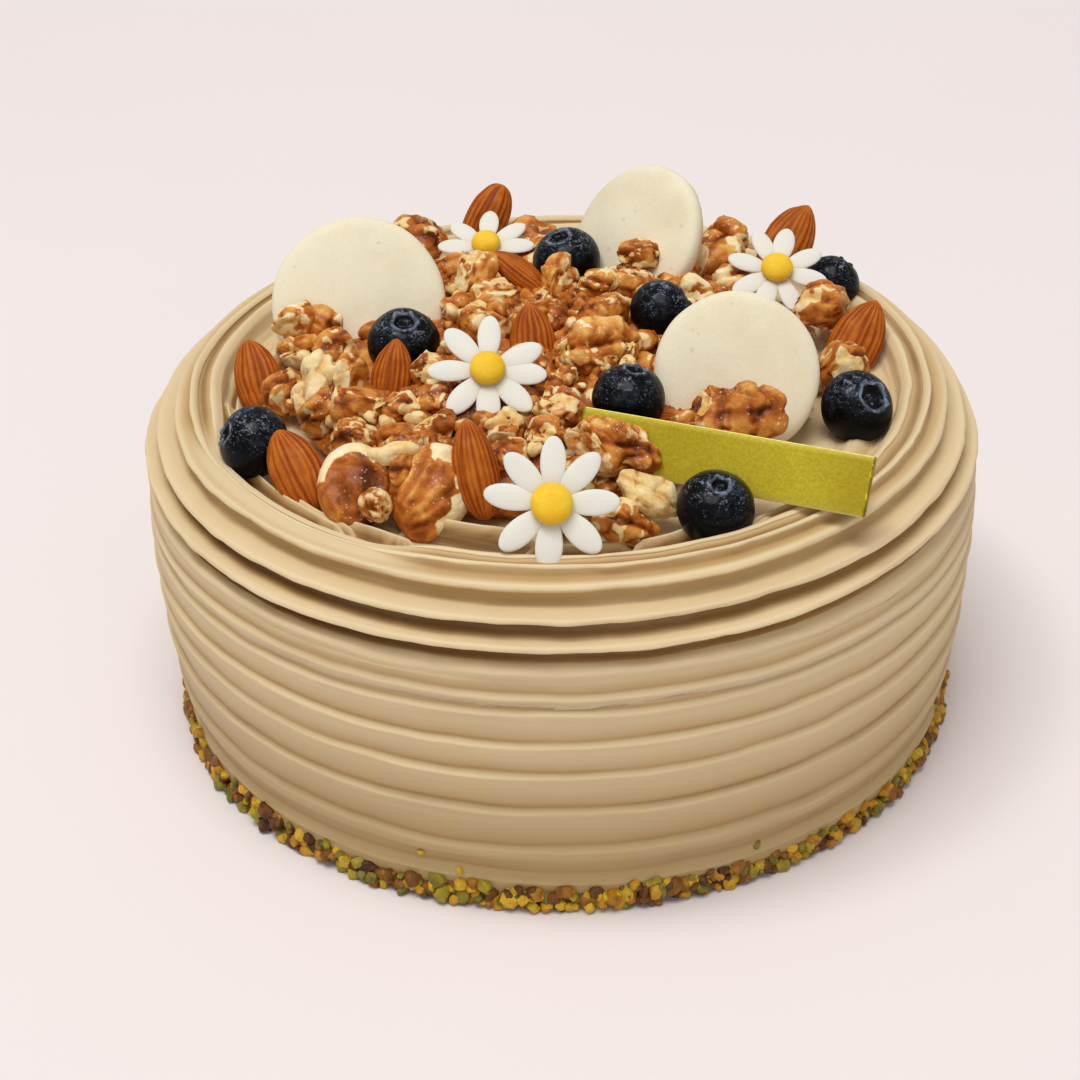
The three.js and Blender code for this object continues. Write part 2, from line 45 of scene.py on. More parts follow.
# ---------------------------------------------------------------- repeatable roughness
MIX_X, MIX_Y, MIX_Z, MIX_SEED, MIX_ALL = 73856093, 19349663, 83492791, 26544357, 1274126177
ALL_BITS, LOW_BITS = 0xFFFFFFFF, 0xFFFF


def lattice(corner, seed):
    """Repeatable numbers from -1 to 1 at whole-number corners."""
    x, y, z = corner[..., 0], corner[..., 1], corner[..., 2]
    mixed = x * MIX_X ^ y * MIX_Y ^ z * MIX_Z ^ (seed + 1) * MIX_SEED
    mixed = ((mixed ^ (mixed >> 13)) * MIX_ALL) & ALL_BITS
    mixed = mixed ^ (mixed >> 16)
    return (mixed & LOW_BITS) / (LOW_BITS / 2) - 1.0


def noise(points, seed=0):
    """Smooth noise from -1 to 1, about one bump per unit."""
    cell = np.floor(points).astype(np.int64)
    part = points - cell
    part = part**3 * (part * (part * 6 - 15) + 10)
    total = np.zeros(points.shape[:-1])
    for corner in np.ndindex(2, 2, 2):
        corner = np.array(corner)
        weight = np.prod(np.where(corner == 1, part, 1 - part), axis=-1)
        total += weight * lattice(cell + corner, seed)
    return total


def drift(points, reach, size, seed):
    """Points pushed about by slow noise, so that a rule shows no straight lines."""
    push = np.stack([noise(points / size, seed + 7 * axis) for axis in range(3)], axis=-1)
    return points + reach * push


def smooth_step(low, high, value):
    """0 at low and 1 at high, with a soft start and end. High may lie below low."""
    share = np.clip((value - low) / (high - low), 0.0, 1.0)
    return share * share * (3 - 2 * share)


def spot_turn(spot):
    """The 3 by 3 turn of a piece: spun about its own Z, which then leans by tilt towards facing."""
    facing, tilt, spin = (math.radians(spot[key]) for key in ("facing", "tilt", "spin"))

    def about_z(angle):
        c, s = math.cos(angle), math.sin(angle)
        return np.array([[c, -s, 0], [s, c, 0], [0, 0, 1]])

    c, s = math.cos(tilt), math.sin(tilt)
    lean = np.array([[c, 0, s], [0, 1, 0], [-s, 0, c]])
    return about_z(facing) @ lean @ about_z(spin)


def turns_round(steps):
    """Evenly spaced angles once round."""
    return TURN * np.arange(steps) / steps


def rings(reach, height, angle):
    """Rings of corners round the Z axis, from the radius and height of each."""
    places = (reach * np.cos(angle), reach * np.sin(angle), height + 0 * angle)
    return np.stack(np.broadcast_arrays(*places), axis=-1)


def placed(corners, spot):
    """Corners moved from a piece's own frame to its place on the cake."""
    return corners @ spot_turn(spot).T + np.array(spot["at"], float)


def unplaced(corners, spot):
    """The same corners as seen in the piece's own frame."""
    return (corners - np.array(spot["at"], float)) @ spot_turn(spot)


# ---------------------------------------------------------------- meshes
class Shell:
    """Corners, faces and named marks (one number for each corner) of a closed skin."""

    def __init__(self, corners, quads=None, tris=None, marks=None):
        self.corners = np.asarray(corners, float)
        self.quads = np.zeros((0, 4), int) if quads is None else np.asarray(quads, int)
        self.tris = np.zeros((0, 3), int) if tris is None else np.asarray(tris, int)
        self.marks = marks or {}

    def outwards(self):
        """Turns the faces round if they point inwards."""
        tris = np.concatenate([self.tris, self.quads[:, [0, 1, 2]], self.quads[:, [0, 2, 3]]])
        a, b, c = (self.corners[tris[:, k]] for k in range(3))
        if np.einsum("ij,ij->i", a, np.cross(b, c)).sum() < 0:
            self.quads = self.quads[:, ::-1]
            self.tris = self.tris[:, ::-1]
        return self

    def set_down(self, spot):
        """Moves the shell from its own frame to its place on the cake."""
        self.corners = placed(self.corners, spot)
        return self


def joined(shells):
    """One shell of several, with the marks of all."""
    corners, quads, tris, start = [], [], [], 0
    names = sorted({name for shell in shells for name in shell.marks})
    marks = {name: [] for name in names}
    for shell in shells:
        corners.append(shell.corners)
        quads.append(shell.quads + start)
        tris.append(shell.tris + start)
        for name in names:
            marks[name].append(np.asarray(shell.marks.get(name, np.zeros(len(shell.corners))), float))
        start += len(shell.corners)
    marks = {name: np.concatenate(values) for name, values in marks.items()}
    return Shell(np.concatenate(corners), np.concatenate(quads), np.concatenate(tris), marks)


def ring_skin(rows, marks=None):
    """A closed skin over rings of corners (rings x steps x 3), with a pole at either end."""
    count, steps = rows.shape[:2]
    corners = np.concatenate([rows.reshape(-1, 3), rows[:1].mean(axis=1), rows[-1:].mean(axis=1)])
    here = np.arange(steps)
    after = (here + 1) % steps
    quads = []
    for ring in range(count - 1):
        low, high = ring * steps, (ring + 1) * steps
        quads.append(np.stack([low + here, low + after, high + after, high + here], axis=1))
    first, last = count * steps, count * steps + 1
    top = (count - 1) * steps
    tris = np.concatenate(
        [
            np.stack([np.full(steps, first), after, here], axis=1),
            np.stack([np.full(steps, last), top + here, top + after], axis=1),
        ]
    )
    spread = {}
    for name, values in (marks or {}).items():
        spread[name] = np.concatenate([values.reshape(-1), [values[0].mean()], [values[-1].mean()]])
    return Shell(corners, np.concatenate(quads), tris, spread).outwards()


def ball(detail):
    """Corners and faces of a round ball of radius 1 with even triangles."""
    made = bmesh.new()
    bmesh.ops.create_icosphere(made, subdivisions=detail, radius=1.0)
    corners = np.array([v.co[:] for v in made.verts])
    tris = np.array([[v.index for v in f.verts] for f in made.faces])
    made.free()
    return corners / np.linalg.norm(corners, axis=1)[:, None], tris


BALLS = {detail: ball(detail) for detail in (2, 4, 5)}


def linked(name, data):
    """A new object in the scene."""
    made = bpy.data.objects.new(name, data)
    bpy.context.scene.collection.objects.link(made)
    return made


def piece(name, shell, material, replaced=()):
    """Makes the finished object from a shell in millimetres."""
    mesh = bpy.data.meshes.new(name)
    faces = [shell.quads.reshape(-1), shell.tris.reshape(-1)]
    sizes = np.concatenate([np.full(len(shell.quads), 4), np.full(len(shell.tris), 3)])
    mesh.vertices.add(len(shell.corners))
    mesh.vertices.foreach_set("co", (shell.corners * MM).astype(np.float32).reshape(-1))
    mesh.loops.add(int(sizes.sum()))
    mesh.loops.foreach_set("vertex_index", np.concatenate(faces).astype(np.int32))
    mesh.polygons.add(len(sizes))
    mesh.polygons.foreach_set("loop_start", (np.cumsum(sizes) - sizes).astype(np.int32))
    mesh.polygons.foreach_set("use_smooth", np.ones(len(sizes), bool))
    for mark, values in shell.marks.items():
        layer = mesh.attributes.new(mark, "FLOAT", "POINT")
        layer.data.foreach_set("value", values.astype(np.float32))
    mesh.update(calc_edges=True)
    mesh.validate()
    mesh.materials.append(material)
    made = linked(name, mesh)
    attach(made, "root")
    if replaced:
        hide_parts(*replaced)


# ---------------------------------------------------------------- shader helpers
def srgb(red, green, blue):
    """A colour as seen on a screen, 0 to 255, as the light that a shader works in."""
    shown = [value / 255 for value in (red, green, blue)]
    return (*(((v + 0.055) / 1.055) ** 2.4 if v > 10 / 255 else v / 12.92 for v in shown), 1.0)


class Nodes:
    """Short words for laying out one tree of nodes."""

    def __init__(self, tree):
        self.tree = tree

    def put(self, socket, value):
        if isinstance(value, bpy.types.NodeSocket):
            self.tree.links.new(value, socket)
        else:
            socket.default_value = value

    def add(self, kind, inputs=None, **settings):
        """A new node with its inputs linked or set. Gives back its outputs."""
        made = self.tree.nodes.new(kind)
        for name, value in settings.items():
            setattr(made, name, value)
        for name, value in (inputs or {}).items():
            self.put(made.inputs[name], value)
        return made.outputs

    def place(self, scale=(1, 1, 1)):
        """The piece's own coordinates in metres, stretched."""
        where = self.add("ShaderNodeTexCoord")["Object"]
        return self.add("ShaderNodeMapping", {"Vector": where, "Scale": scale})["Vector"]

    def up(self, vector):
        """The upward part of a vector."""
        return self.add("ShaderNodeSeparateXYZ", {"Vector": vector})["Z"]

    def facing_up(self):
        return self.up(self.add("ShaderNodeNewGeometry")["Normal"])

    def mark(self, name):
        return self.add("ShaderNodeAttribute", attribute_name=name)["Fac"]

    def cloud(self, vector, scale, detail=3.0, rough=0.55, bend=0.0):
        shape = {"Scale": scale, "Detail": detail, "Roughness": rough, "Distortion": bend}
        return self.add("ShaderNodeTexNoise", {"Vector": vector, **shape})["Fac"]

    def dots(self, vector, scale, low, high):
        """Round dots, 1 in the middle of each cell and 0 beyond the distance high."""
        cells = self.add("ShaderNodeTexVoronoi", {"Vector": vector, "Scale": scale}, feature="F1")
        return self.sum("SUBTRACT", 1.0, self.step(cells["Distance"], low, high))

    def sum(self, kind, a, b=0.0, c=0.0):
        return self.add("ShaderNodeMath", {0: a, 1: b, 2: c}, operation=kind)["Value"]

    def times(self, *values):
        product = values[0]
        for value in values[1:]:
            product = self.sum("MULTIPLY", product, value)
        return product

    def vary(self, cloud, reach, value):
        """The value, moved up and down by a cloud."""
        return self.sum("MULTIPLY_ADD", self.sum("SUBTRACT", cloud, 0.5), reach, value)

    def step(self, value, low, high, to_low=0.0, to_high=1.0):
        span = {"From Min": low, "From Max": high, "To Min": to_low, "To Max": to_high}
        kind = {"interpolation_type": "SMOOTHSTEP"}
        return self.add("ShaderNodeMapRange", {"Value": value, **span}, **kind)["Result"]

    def mix(self, share, a, b, blend="MIX"):
        kind = {"data_type": "RGBA", "blend_type": blend}
        return self.add("ShaderNodeMix", {0: share, 6: a, 7: b}, **kind)[2]

    def ramp(self, value, stops):
        """A colour for each height of the value, given as a screen sees it."""
        made = self.tree.nodes.new("ShaderNodeValToRGB")
        self.put(made.inputs["Fac"], value)
        band = made.color_ramp
        while len(band.elements) > 1:
            band.elements.remove(band.elements[-1])
        for number, (position, colour) in enumerate(stops):
            stop = band.elements.new(position) if number else band.elements[0]
            stop.position = position
            stop.color = srgb(*colour)
        return made.outputs["Color"]

    def bump(self, height, strength, distance_mm):
        shape = {"Strength": strength, "Distance": distance_mm * MM}
        return self.add("ShaderNodeBump", {"Height": height, **shape})["Normal"]

    def use(self, group, inputs):
        made = self.tree.nodes.new("ShaderNodeGroup")
        made.node_tree = group
        for name, value in inputs.items():
            self.put(made.inputs[name], value)
        return made.outputs


def new_group(name, inputs, outputs):
    """An empty shader group with named sockets. Each input has its kind and its usual value."""
    group = bpy.data.node_groups.new(name, "ShaderNodeTree")
    for label, kind, value in inputs:
        socket = group.interface.new_socket(label, in_out="INPUT", socket_type=kind)
        socket.default_value = value
    for label, kind in outputs:
        group.interface.new_socket(label, in_out="OUTPUT", socket_type=kind)
    entry = group.nodes.new("NodeGroupInput").outputs
    leave = group.nodes.new("NodeGroupOutput").inputs
    return group, Nodes(group), entry, leave


def new_material(name, fixed):
    """A material with one Principled shader, whose uniform values are set on its own sockets."""
    material = bpy.data.materials.new(name)
    material.use_nodes = True
    tree = material.node_tree
    shader = next(node for node in tree.nodes if node.type == "BSDF_PRINCIPLED")
    for label, value in fixed.items():
        shader.inputs[label].default_value = value
    return material, Nodes(tree), shader.inputs


NUMBER, COLOUR = "NodeSocketFloat", "NodeSocketColor"
PLAIN_GREY = (0.8, 0.8, 0.8, 1)


def grain_group():
    """Fine grain of sugar paste and shells: a height and a faint mottling of the colour."""
    group, n, entry, leave = new_group(
        "fine_grain",
        [("Colour", COLOUR, PLAIN_GREY), ("Scale", NUMBER, 900.0), ("Mottling", NUMBER, 0.1)],
        [("Colour", COLOUR), ("Height", NUMBER)],
    )
    where = n.place()
    fine = n.cloud(where, entry["Scale"], 3.0, 0.5)
    broad = n.cloud(where, 90.0, 2.0)
    mixed = n.sum("MULTIPLY_ADD", fine, 0.6, n.times(broad, 0.4))
    swing = n.times(n.sum("SUBTRACT", mixed, 0.5), entry["Mottling"])
    value = n.sum("ADD", 1.0, n.times(swing, 4.0))
    bright = n.add("ShaderNodeHueSaturation", {"Color": entry["Colour"], "Value": value})
    n.put(leave["Colour"], bright["Color"])
    n.put(leave["Height"], fine)
    return group


def dust_group():
    """Specks of sugar that lie on whatever faces up."""
    group, n, entry, leave = new_group(
        "sugar_dust",
        [
            ("Colour", COLOUR, PLAIN_GREY),
            ("Dust", COLOUR, srgb(245, 240, 232)),
            ("Scale", NUMBER, 1500.0),
            ("Amount", NUMBER, 0.5),
        ],
        [("Colour", COLOUR), ("Mask", NUMBER)],
    )
    where = n.place()
    patch = n.step(n.cloud(where, 170.0, 2.0), 0.45, 0.62)
    up = n.step(n.facing_up(), -0.05, 0.75)
    near = n.dots(where, entry["Scale"], 0.12, 0.3)
    mask = n.times(n.times(near, patch), n.times(up, entry["Amount"]))
    n.put(leave["Mask"], mask)
    n.put(leave["Colour"], n.mix(mask, entry["Colour"], entry["Dust"]))
    return group


GRAIN = grain_group()
DUST = dust_group()


# ---------------------------------------------------------------- materials
def buttercream():
    """Coffee buttercream, pale where it stands out; its groove mark paints shade, tan and browner down in
    its grooves, slots and beside its strokes, and painted shade darkens it towards the foot.
    """
    material, n, out = new_material(
        "buttercream",
        {
            "Roughness": 0.56,
            "Specular IOR Level": 0.36,
            "Subsurface Weight": 0.12,
            "Subsurface Radius": (0.0035, 0.0022, 0.0012),
            "Subsurface Scale": 1.0,
        },
    )
    where = n.place()
    streak = n.cloud(n.place((16, 16, 620)), 1.0, 4.0, 0.6, 0.4)
    blotch = n.cloud(where, 34.0)
    shade_by_groove = [
        (0.0, (229, 206, 164)),
        (0.3, (214, 189, 143)),
        (0.65, (188, 151, 96)),
        (1.0, (108, 69, 28)),
    ]
    # painted shade: the groove mark turns the icing tan to dark brown in grooves, slots and beside strokes
    colour = n.ramp(n.mark("groove"), shade_by_groove)
    colour = n.mix(n.step(streak, 0.35, 0.7, 0.0, 0.28), colour, srgb(203, 178, 137))
    colour = n.mix(n.step(blotch, 0.45, 0.75, 0.0, 0.22), colour, srgb(219, 192, 152))
    # painted shade: the colour darkens towards the foot, from 52 mm high down
    low = n.step(n.up(where), -0.002, 0.052, 1.0, 0.0)
    painted_foot_shade = (0.66, 0.6, 0.46, 1)
    n.put(out["Base Color"], n.mix(low, colour, painted_foot_shade, "MULTIPLY"))
    rare = n.step(n.cloud(where, 60.0, 2.0), 0.56, 0.7)
    pits = n.times(n.dots(n.place((1, 1, 1.6)), 210.0, 0.04, 0.22), rare)
    height = n.sum("ADD", streak, n.times(pits, -0.7))
    n.put(out["Normal"], n.bump(height, 0.42, 0.35))
    return material


def pistachio():
    """Chopped pistachio: amber, yellow and green flesh with brown skin on some."""
    material, n, out = new_material("pistachio", {"Roughness": 0.5, "Specular IOR Level": 0.4})
    where = n.place()
    by_shade = [
        (0.0, (70, 38, 10)),
        (0.25, (136, 84, 16)),
        (0.45, (196, 138, 22)),
        (0.62, (216, 174, 40)),
        (0.8, (150, 134, 30)),
        (1.0, (92, 88, 24)),
    ]
    n.put(out["Base Color"], n.ramp(n.vary(n.cloud(where, 420.0, 2.0), 0.5, n.mark("shade")), by_shade))
    n.put(out["Normal"], n.bump(n.cloud(where, 1500.0), 0.4, 0.3))
    return material


def candied_walnut():
    """Walnut skin in amber and brown under a sugar glaze, darker down in its valleys partly as painted
    shade, with cream flesh where it is broken.
    """
    material, n, out = new_material(
        "candied_walnut",
        {
            "Coat Weight": 0.14,
            "Coat Roughness": 0.08,
            "Specular IOR Level": 0.14,
            "Subsurface Weight": 0.12,
            "Subsurface Radius": (0.0014, 0.0007, 0.0003),
        },
    )
    fold = n.mark("fold")
    where = n.place()
    mottle = n.cloud(where, 260.0, 4.0, 0.6, 0.6)
    fine = n.cloud(where, 1100.0)
    skin_by_fold = [
        (0.0, (88, 38, 5)),
        (0.22, (142, 70, 14)),
        (0.5, (190, 108, 37)),
        (0.75, (220, 152, 68)),
        (1.0, (236, 188, 108)),
    ]
    meat_by_fold = [
        (0.0, (178, 110, 44)),
        (0.3, (220, 168, 88)),
        (0.55, (240, 212, 150)),
        (0.85, (250, 236, 198)),
    ]
    # the fold mark darkens the skin in valleys and the cleft, partly its own browner colour and partly
    # painted shade
    skin = n.ramp(n.vary(mottle, 1.1, fold), skin_by_fold)
    meat = n.ramp(n.vary(mottle, 0.9, n.sum("MULTIPLY_ADD", fold, 0.6, 0.22)), meat_by_fold)
    bare = n.step(n.vary(mottle, 0.9, n.mark("flesh")), 0.34, 0.7)
    sugar = {"Dust": srgb(250, 232, 206), "Scale": 1000.0, "Amount": 0.6}
    dusted = n.use(DUST, {"Colour": n.mix(bare, skin, meat), **sugar})
    n.put(out["Base Color"], dusted["Colour"])
    wet = n.sum("ADD", 0.42, n.times(bare, 0.16))
    n.put(out["Roughness"], n.sum("ADD", wet, n.times(dusted["Mask"], 0.3)))
    n.put(out["Normal"], n.bump(n.sum("ADD", fine, n.times(mottle, 1.4)), 0.5, 0.45))
    return material


def macaron():
    """A dry pale shell with fine grain and a few specks of ground almond."""
    material, n, out = new_material(
        "macaron",
        {
            "Roughness": 0.72,
            "Specular IOR Level": 0.25,
            "Subsurface Weight": 0.06,
            "Subsurface Radius": (0.002, 0.0015, 0.001),
        },
    )
    where = n.place()
    rare = n.step(n.cloud(where, 210.0, 2.0), 0.55, 0.68)
    specks = n.times(n.dots(where, 300.0, 0.1, 0.26), rare)
    base = n.mix(n.step(n.cloud(where, 70.0), 0.35, 0.7), srgb(238, 228, 200), srgb(232, 219, 187))
    base = n.mix(n.times(specks, 0.4), base, srgb(196, 168, 120))
    base = n.mix(n.mark("foot"), base, srgb(214, 194, 150))
    grained = n.use(GRAIN, {"Colour": base, "Scale": 1300.0, "Mottling": 0.05})
    n.put(out["Base Color"], grained["Colour"])
    n.put(out["Normal"], n.bump(grained["Height"], 0.22, 0.25))
    return material


def blueberry_skin():
    """Near-black blue skin under a patchy pale bloom, painted paler on upward faces as a sheen from the
    light above, with pale streaks and sugar specks on top.
    """
    material, n, out = new_material(
        "blueberry_skin",
        {"Specular IOR Level": 0.07, "Coat Weight": 0.1, "Coat Roughness": 0.06},
    )
    where = n.place()
    up = n.facing_up()
    bloom = n.step(n.cloud(where, 150.0, 4.0, 0.6, 0.8), 0.4, 0.66)
    fine = n.step(n.cloud(where, 700.0), 0.4, 0.62)
    # painted sheen: the bloom is paler on upward faces and faint on faces turned down
    share = n.times(n.times(bloom, n.step(up, 0.0, 1.0, 0.06, 1.0)), n.times(fine, 0.2))
    colour = n.mix(share, srgb(5, 5, 8), srgb(96, 110, 136))
    bloomed_crown = n.times(n.mark("bloom"), n.sum("MULTIPLY_ADD", fine, 0.5, 0.2))
    colour = n.mix(bloomed_crown, colour, srgb(140, 152, 174))
    colour = n.mix(n.mark("crown"), colour, srgb(8, 7, 9))
    streak = n.step(n.cloud(n.place((1, 1, 2.4)), 420.0, 4.0, 0.7, 1.5), 0.55, 0.66)
    on_top = n.times(streak, n.step(up, 0.35, 0.9), 0.42)
    colour = n.mix(on_top, colour, srgb(170, 180, 196))
    sugar = {"Dust": srgb(190, 198, 212), "Scale": 1500.0, "Amount": 0.42}
    dusted = n.use(DUST, {"Colour": colour, **sugar})
    n.put(out["Base Color"], dusted["Colour"])
    n.put(out["Roughness"], n.sum("ADD", 0.34, n.times(share, 0.5)))
    n.put(out["Normal"], n.bump(n.cloud(where, 900.0), 0.22, 0.3))
    return material


def almond_skin():
    """Dry orange-brown skin with darker grooves along its length, partly the skin's own darker lines and
    partly painted shade.
    """
    material, n, out = new_material("almond_skin", {"Roughness": 0.55, "Specular IOR Level": 0.14})
    where = n.place()
    mottle = n.cloud(where, 330.0, 4.0, 0.6)
    shade_by_groove = [
        (0.0, (198, 114, 38)),
        (0.3, (170, 84, 15)),
        (0.65, (146, 66, 9)),
        (1.0, (112, 44, 6)),
    ]
    # the groove mark darkens the grooves, partly the skin's own lines and partly painted shade
    depth = n.vary(mottle, 0.7, n.sum("MULTIPLY_ADD", n.mark("groove"), 0.6, 0.14))
    sugar = {"Dust": srgb(206, 136, 70), "Scale": 2200.0, "Amount": 0.4}
    dusted = n.use(DUST, {"Colour": n.ramp(depth, shade_by_groove), **sugar})
    n.put(out["Base Color"], dusted["Colour"])
    n.put(out["Normal"], n.bump(n.cloud(where, 1500.0), 0.35, 0.25))
    return material


def sugar_paste(name, roughness, scattering, colouring, grain, bump):
    """Sugar paste: how rough it is, how far light goes in, its colour, its grain and its bumps."""
    material, n, out = new_material(
        name,
        {
            "Roughness": roughness,
            "Specular IOR Level": 0.3,
            "Subsurface Weight": 0.1,
            "Subsurface Radius": scattering,
        },
    )
    scale, mottling = grain
    grained = n.use(GRAIN, {"Colour": colouring(n), "Scale": scale, "Mottling": mottling})
    n.put(out["Base Color"], grained["Colour"])
    n.put(out["Normal"], n.bump(grained["Height"], *bump))
    return material


def sugar_petal():
    """White sugar paste, painted darker and warmer towards the heart as warm shade."""

    def white_with_warm_shade(n):
        # painted warm shade towards the heart
        return n.mix(n.mark("inner"), srgb(230, 227, 216), srgb(220, 214, 196))

    return sugar_paste("sugar_petal", 0.55, (0.002, 0.0018, 0.0014), white_with_warm_shade, (1700.0, 0.03), (0.16, 0.2))


def sugar_heart():
    """Yellow sugar paste with a slightly pitted skin."""

    def yellow(n):
        patches = n.step(n.cloud(n.place(), 240.0), 0.35, 0.7)
        return n.mix(patches, srgb(246, 204, 52), srgb(243, 190, 30))

    return sugar_paste("sugar_heart", 0.6, (0.002, 0.0014, 0.0004), yellow, (1500.0, 0.06), (0.3, 0.3))


def gold_foil():
    """Foil-faced card: a yellow-green gold with a fine satin grain and broad soft sheen, and a painted
    highlight along both long edges.
    """
    material, n, out = new_material("gold_foil", {"Metallic": 0.55, "Specular IOR Level": 0.5})
    where = n.place()
    fine = n.cloud(where, 1600.0)
    by_length = [
        (0.0, (204, 192, 44)),
        (0.35, (190, 168, 26)),
        (0.7, (206, 186, 40)),
        (1.0, (184, 160, 26)),
    ]
    colour = n.ramp(n.vary(n.cloud(where, 60.0, 2.0), 0.5, n.mark("along")), by_length)
    colour = n.mix(n.step(fine, 0.35, 0.68, 0.3, 0.0), colour, srgb(140, 120, 16))
    # painted highlight: the edge mark lightens both long edges
    n.put(out["Base Color"], n.mix(n.mark("edge"), colour, srgb(232, 224, 138)))
    n.put(out["Roughness"], n.sum("MULTIPLY_ADD", fine, 0.2, 0.34))
    n.put(out["Normal"], n.bump(fine, 0.18, 0.15))
    return material


ICING = buttercream()
PISTACHIO = pistachio()
WALNUT = candied_walnut()
MACARON = macaron()
BERRY = blueberry_skin()
ALMOND = almond_skin()
PETAL = sugar_petal()
HEART = sugar_heart()
GOLD = gold_foil()

# ---------------------------------------------------------------- the iced body
FOOT_RADIUS = 95.1
SIDE_FLARE = 8.9
SIDE_CURVE = 3.2
SIDE_SPAN = 40.0
FLOOR_HEIGHT = 80.6
CORE_RADIUS = 64.0
CORE_TOP = 97.0
WIDEST = 101.25
ICING_STEPS = 280
FLOOR_ROWS = 50

# comb ridges up the side: the crest, the groove just above it, and how deep the groove is
RIDGES = [
    (7.8, 11.8, 0.7),
    (18.2, 20.0, 1.2),
    (30.3, 31.5, 1.5),
    (40.6, 42.0, 1.2),
    (48.8, 50.2, 1.2),
    (57.2, 58.7, 0.9),
    (61.6, 63.2, 1.0),
]
TOP_CREST = 68.2

# the three large lips of the rim, outermost first: the slot under each (radius of its back wall,
# heights of its floor and roof there), its edge and its crown (radius, height)
SLOT_LIPS = [
    (96.2, 70.1, 73.3, (101.3, 74.1), (100.6, 75.1)),
    (94.0, 75.1, 78.5, (98.4, 79.3), (97.6, 80.3)),
    (92.0, 80.3, 83.6, (93.5, 84.7), (92.7, 85.7)),
]
# the two small steps inside them: groove, edge, crown and the slope behind (radius, height), and
# the same four places where the spatula has smoothed the steps away on the left
SMALL_LIPS = [
    ((89.0, 85.5), (89.2, 87.6), (88.3, 88.2), (86.9, 87.3)),
    ((86.1, 86.5), (84.5, 87.4), (83.3, 87.8), (81.6, 86.6)),
]
SMOOTHED_LIPS = [
    ((89.8, 86.2), (89.2, 86.5), (88.6, 86.8), (87.9, 87.0)),
    ((87.8, 87.0), (87.2, 86.9), (86.7, 86.5), (86.0, 85.4)),
]

# for each large lip: how dark the painted shadow in its slot is, how far the icing under it is shifted up,
# and the painted shade mark behind its crown
SLOT_SHADOW = (1.0, 0.95, 0.7)
UNDER_SHIFT = (-0.3, 0.0, 0.05)
BEHIND_CROWN = (0.1, 0.1, 0.4)
UNDER_FIRST_LIP = 98.9
SMALL_GROOVE_SHADE = (0.62, 0.85)

# strokes of the spatula on the floor: compass angles and radii of both ends, how far the middle
# bows outwards, how high the stroke stands, and its widths towards the middle and the rim
STROKES = [
    (-178, -148, 80.6, 82.4, -1.2, 4.6, 2.2, 0.5),
    (-155, -124, 83.0, 83.4, -1.6, 4.9, 2.2, 0.45),
    (-142, -124, 79.4, 81.0, 0.3, 4.6, 1.8, 0.45),
    (-134, -113, 81.6, 80.6, -2.4, 4.8, 2.2, 0.45),
    (-121, -94, 72.6, 71.8, -1.6, 5.6, 3.0, 0.9),
    (-116, -80, 80.4, 79.8, 0.4, 3.2, 2.0, 0.6),
    (-98, -78, 74.0, 73.4, 0.0, 3.4, 2.0, 0.8),
    (-88, -76, 81.2, 80.6, 0.3, 4.2, 1.8, 0.5),
    (-80, -64, 76.2, 73.4, 0.2, 4.6, 1.8, 0.8),
    (-72, -52, 79.6, 78.4, 0.3, 4.2, 1.6, 0.6),
    (-64, -42, 80.6, 81.4, 0.4, 4.4, 1.6, 0.5),
    (-60, -30, 76.8, 78.0, 0.2, 4.2, 1.8, 0.6),
    (-42, -12, 70.8, 75.0, 1.0, 2.8, 3.2, 2.8),
    (-16, 28, 75.5, 71.5, 0.5, 3.0, 1.0, 2.8),
    (20, 66, 70.0, 75.0, 0.5, 2.4, 1.0, 2.8),
    (58, 104, 75.5, 71.0, 0.5, 2.2, 1.1, 3.0),
    (96, 142, 71.0, 75.5, 0.5, 2.4, 1.0, 2.8),
    (134, 178, 75.0, 72.0, 0.5, 2.8, 0.9, 2.8),
    (160, 192, 77.5, 77.5, 0.5, 3.2, 1.6, 0.8),
]
# the foot of the wall round the floor: radii and heights above the floor
FLOOR_RISE = ((76.0, 78.0, 79.6, 80.8), (0.2, 0.6, 1.4, 3.0))


def side_radius(height):
    """The barrel of the side: how far out its crests stand at a height."""
    share = height / SIDE_SPAN
    return FOOT_RADIUS + SIDE_FLARE * share - SIDE_CURVE * share * share


def gape(angle):
    """The grooves under the lips gape fully at the front and less than half as far at the back."""
    return 0.72 - 0.28 * np.sin(angle)


def sway(angle, number):
    """A slow rise and fall of one line round the cake, in millimetres."""
    return 0.35 * np.sin(2 * angle + 0.9 * number) + 0.25 * np.sin(5 * angle + 2.1 * number)


def wander(angle, number, size=14.0):
    """A hand's unsteadiness along one line round the cake, from -1 to 1."""
    circle = rings(100 / size, 3.7 * number, angle)
    return noise(circle, 5) + 0.5 * noise(circle * 2.7, 6)


def floor_strokes(radius, angle):
    """How far the spatula strokes stand above the floor."""
    rise = np.zeros(np.broadcast(radius, angle).shape)
    for start, end, first, last, bow, height, inner, outer in STROKES:
        middle = math.radians((start + end) / 2)
        half = math.radians((end - start) / 2)
        along = (np.mod(angle - middle + math.pi, TURN) - math.pi) / half
        line = first + (last - first) * (along + 1) / 2 + bow * (1 - along**2)
        line = line + 0.25 * np.sin(13 * angle + start)
        away = radius - line
        width = np.where(away < 0, inner, outer)
        fade = smooth_step(1.0, 0.72, np.abs(along))
        rise = np.maximum(rise, height * fade * np.exp(-((away / width) ** 2)))
    return rise


def chaikin(rows):
    """Cuts the corners of a stack of rows once, keeping its first and last."""
    low, high = rows[:-1], rows[1:]
    cut = np.stack([low * 0.75 + high * 0.25, low * 0.25 + high * 0.75], axis=1)
    cut = cut.reshape(-1, *rows.shape[1:])
    return np.concatenate([rows[:1], cut, rows[-1:]])


ANGLE = turns_round(ICING_STEPS)
STILL = np.zeros_like(ANGLE)

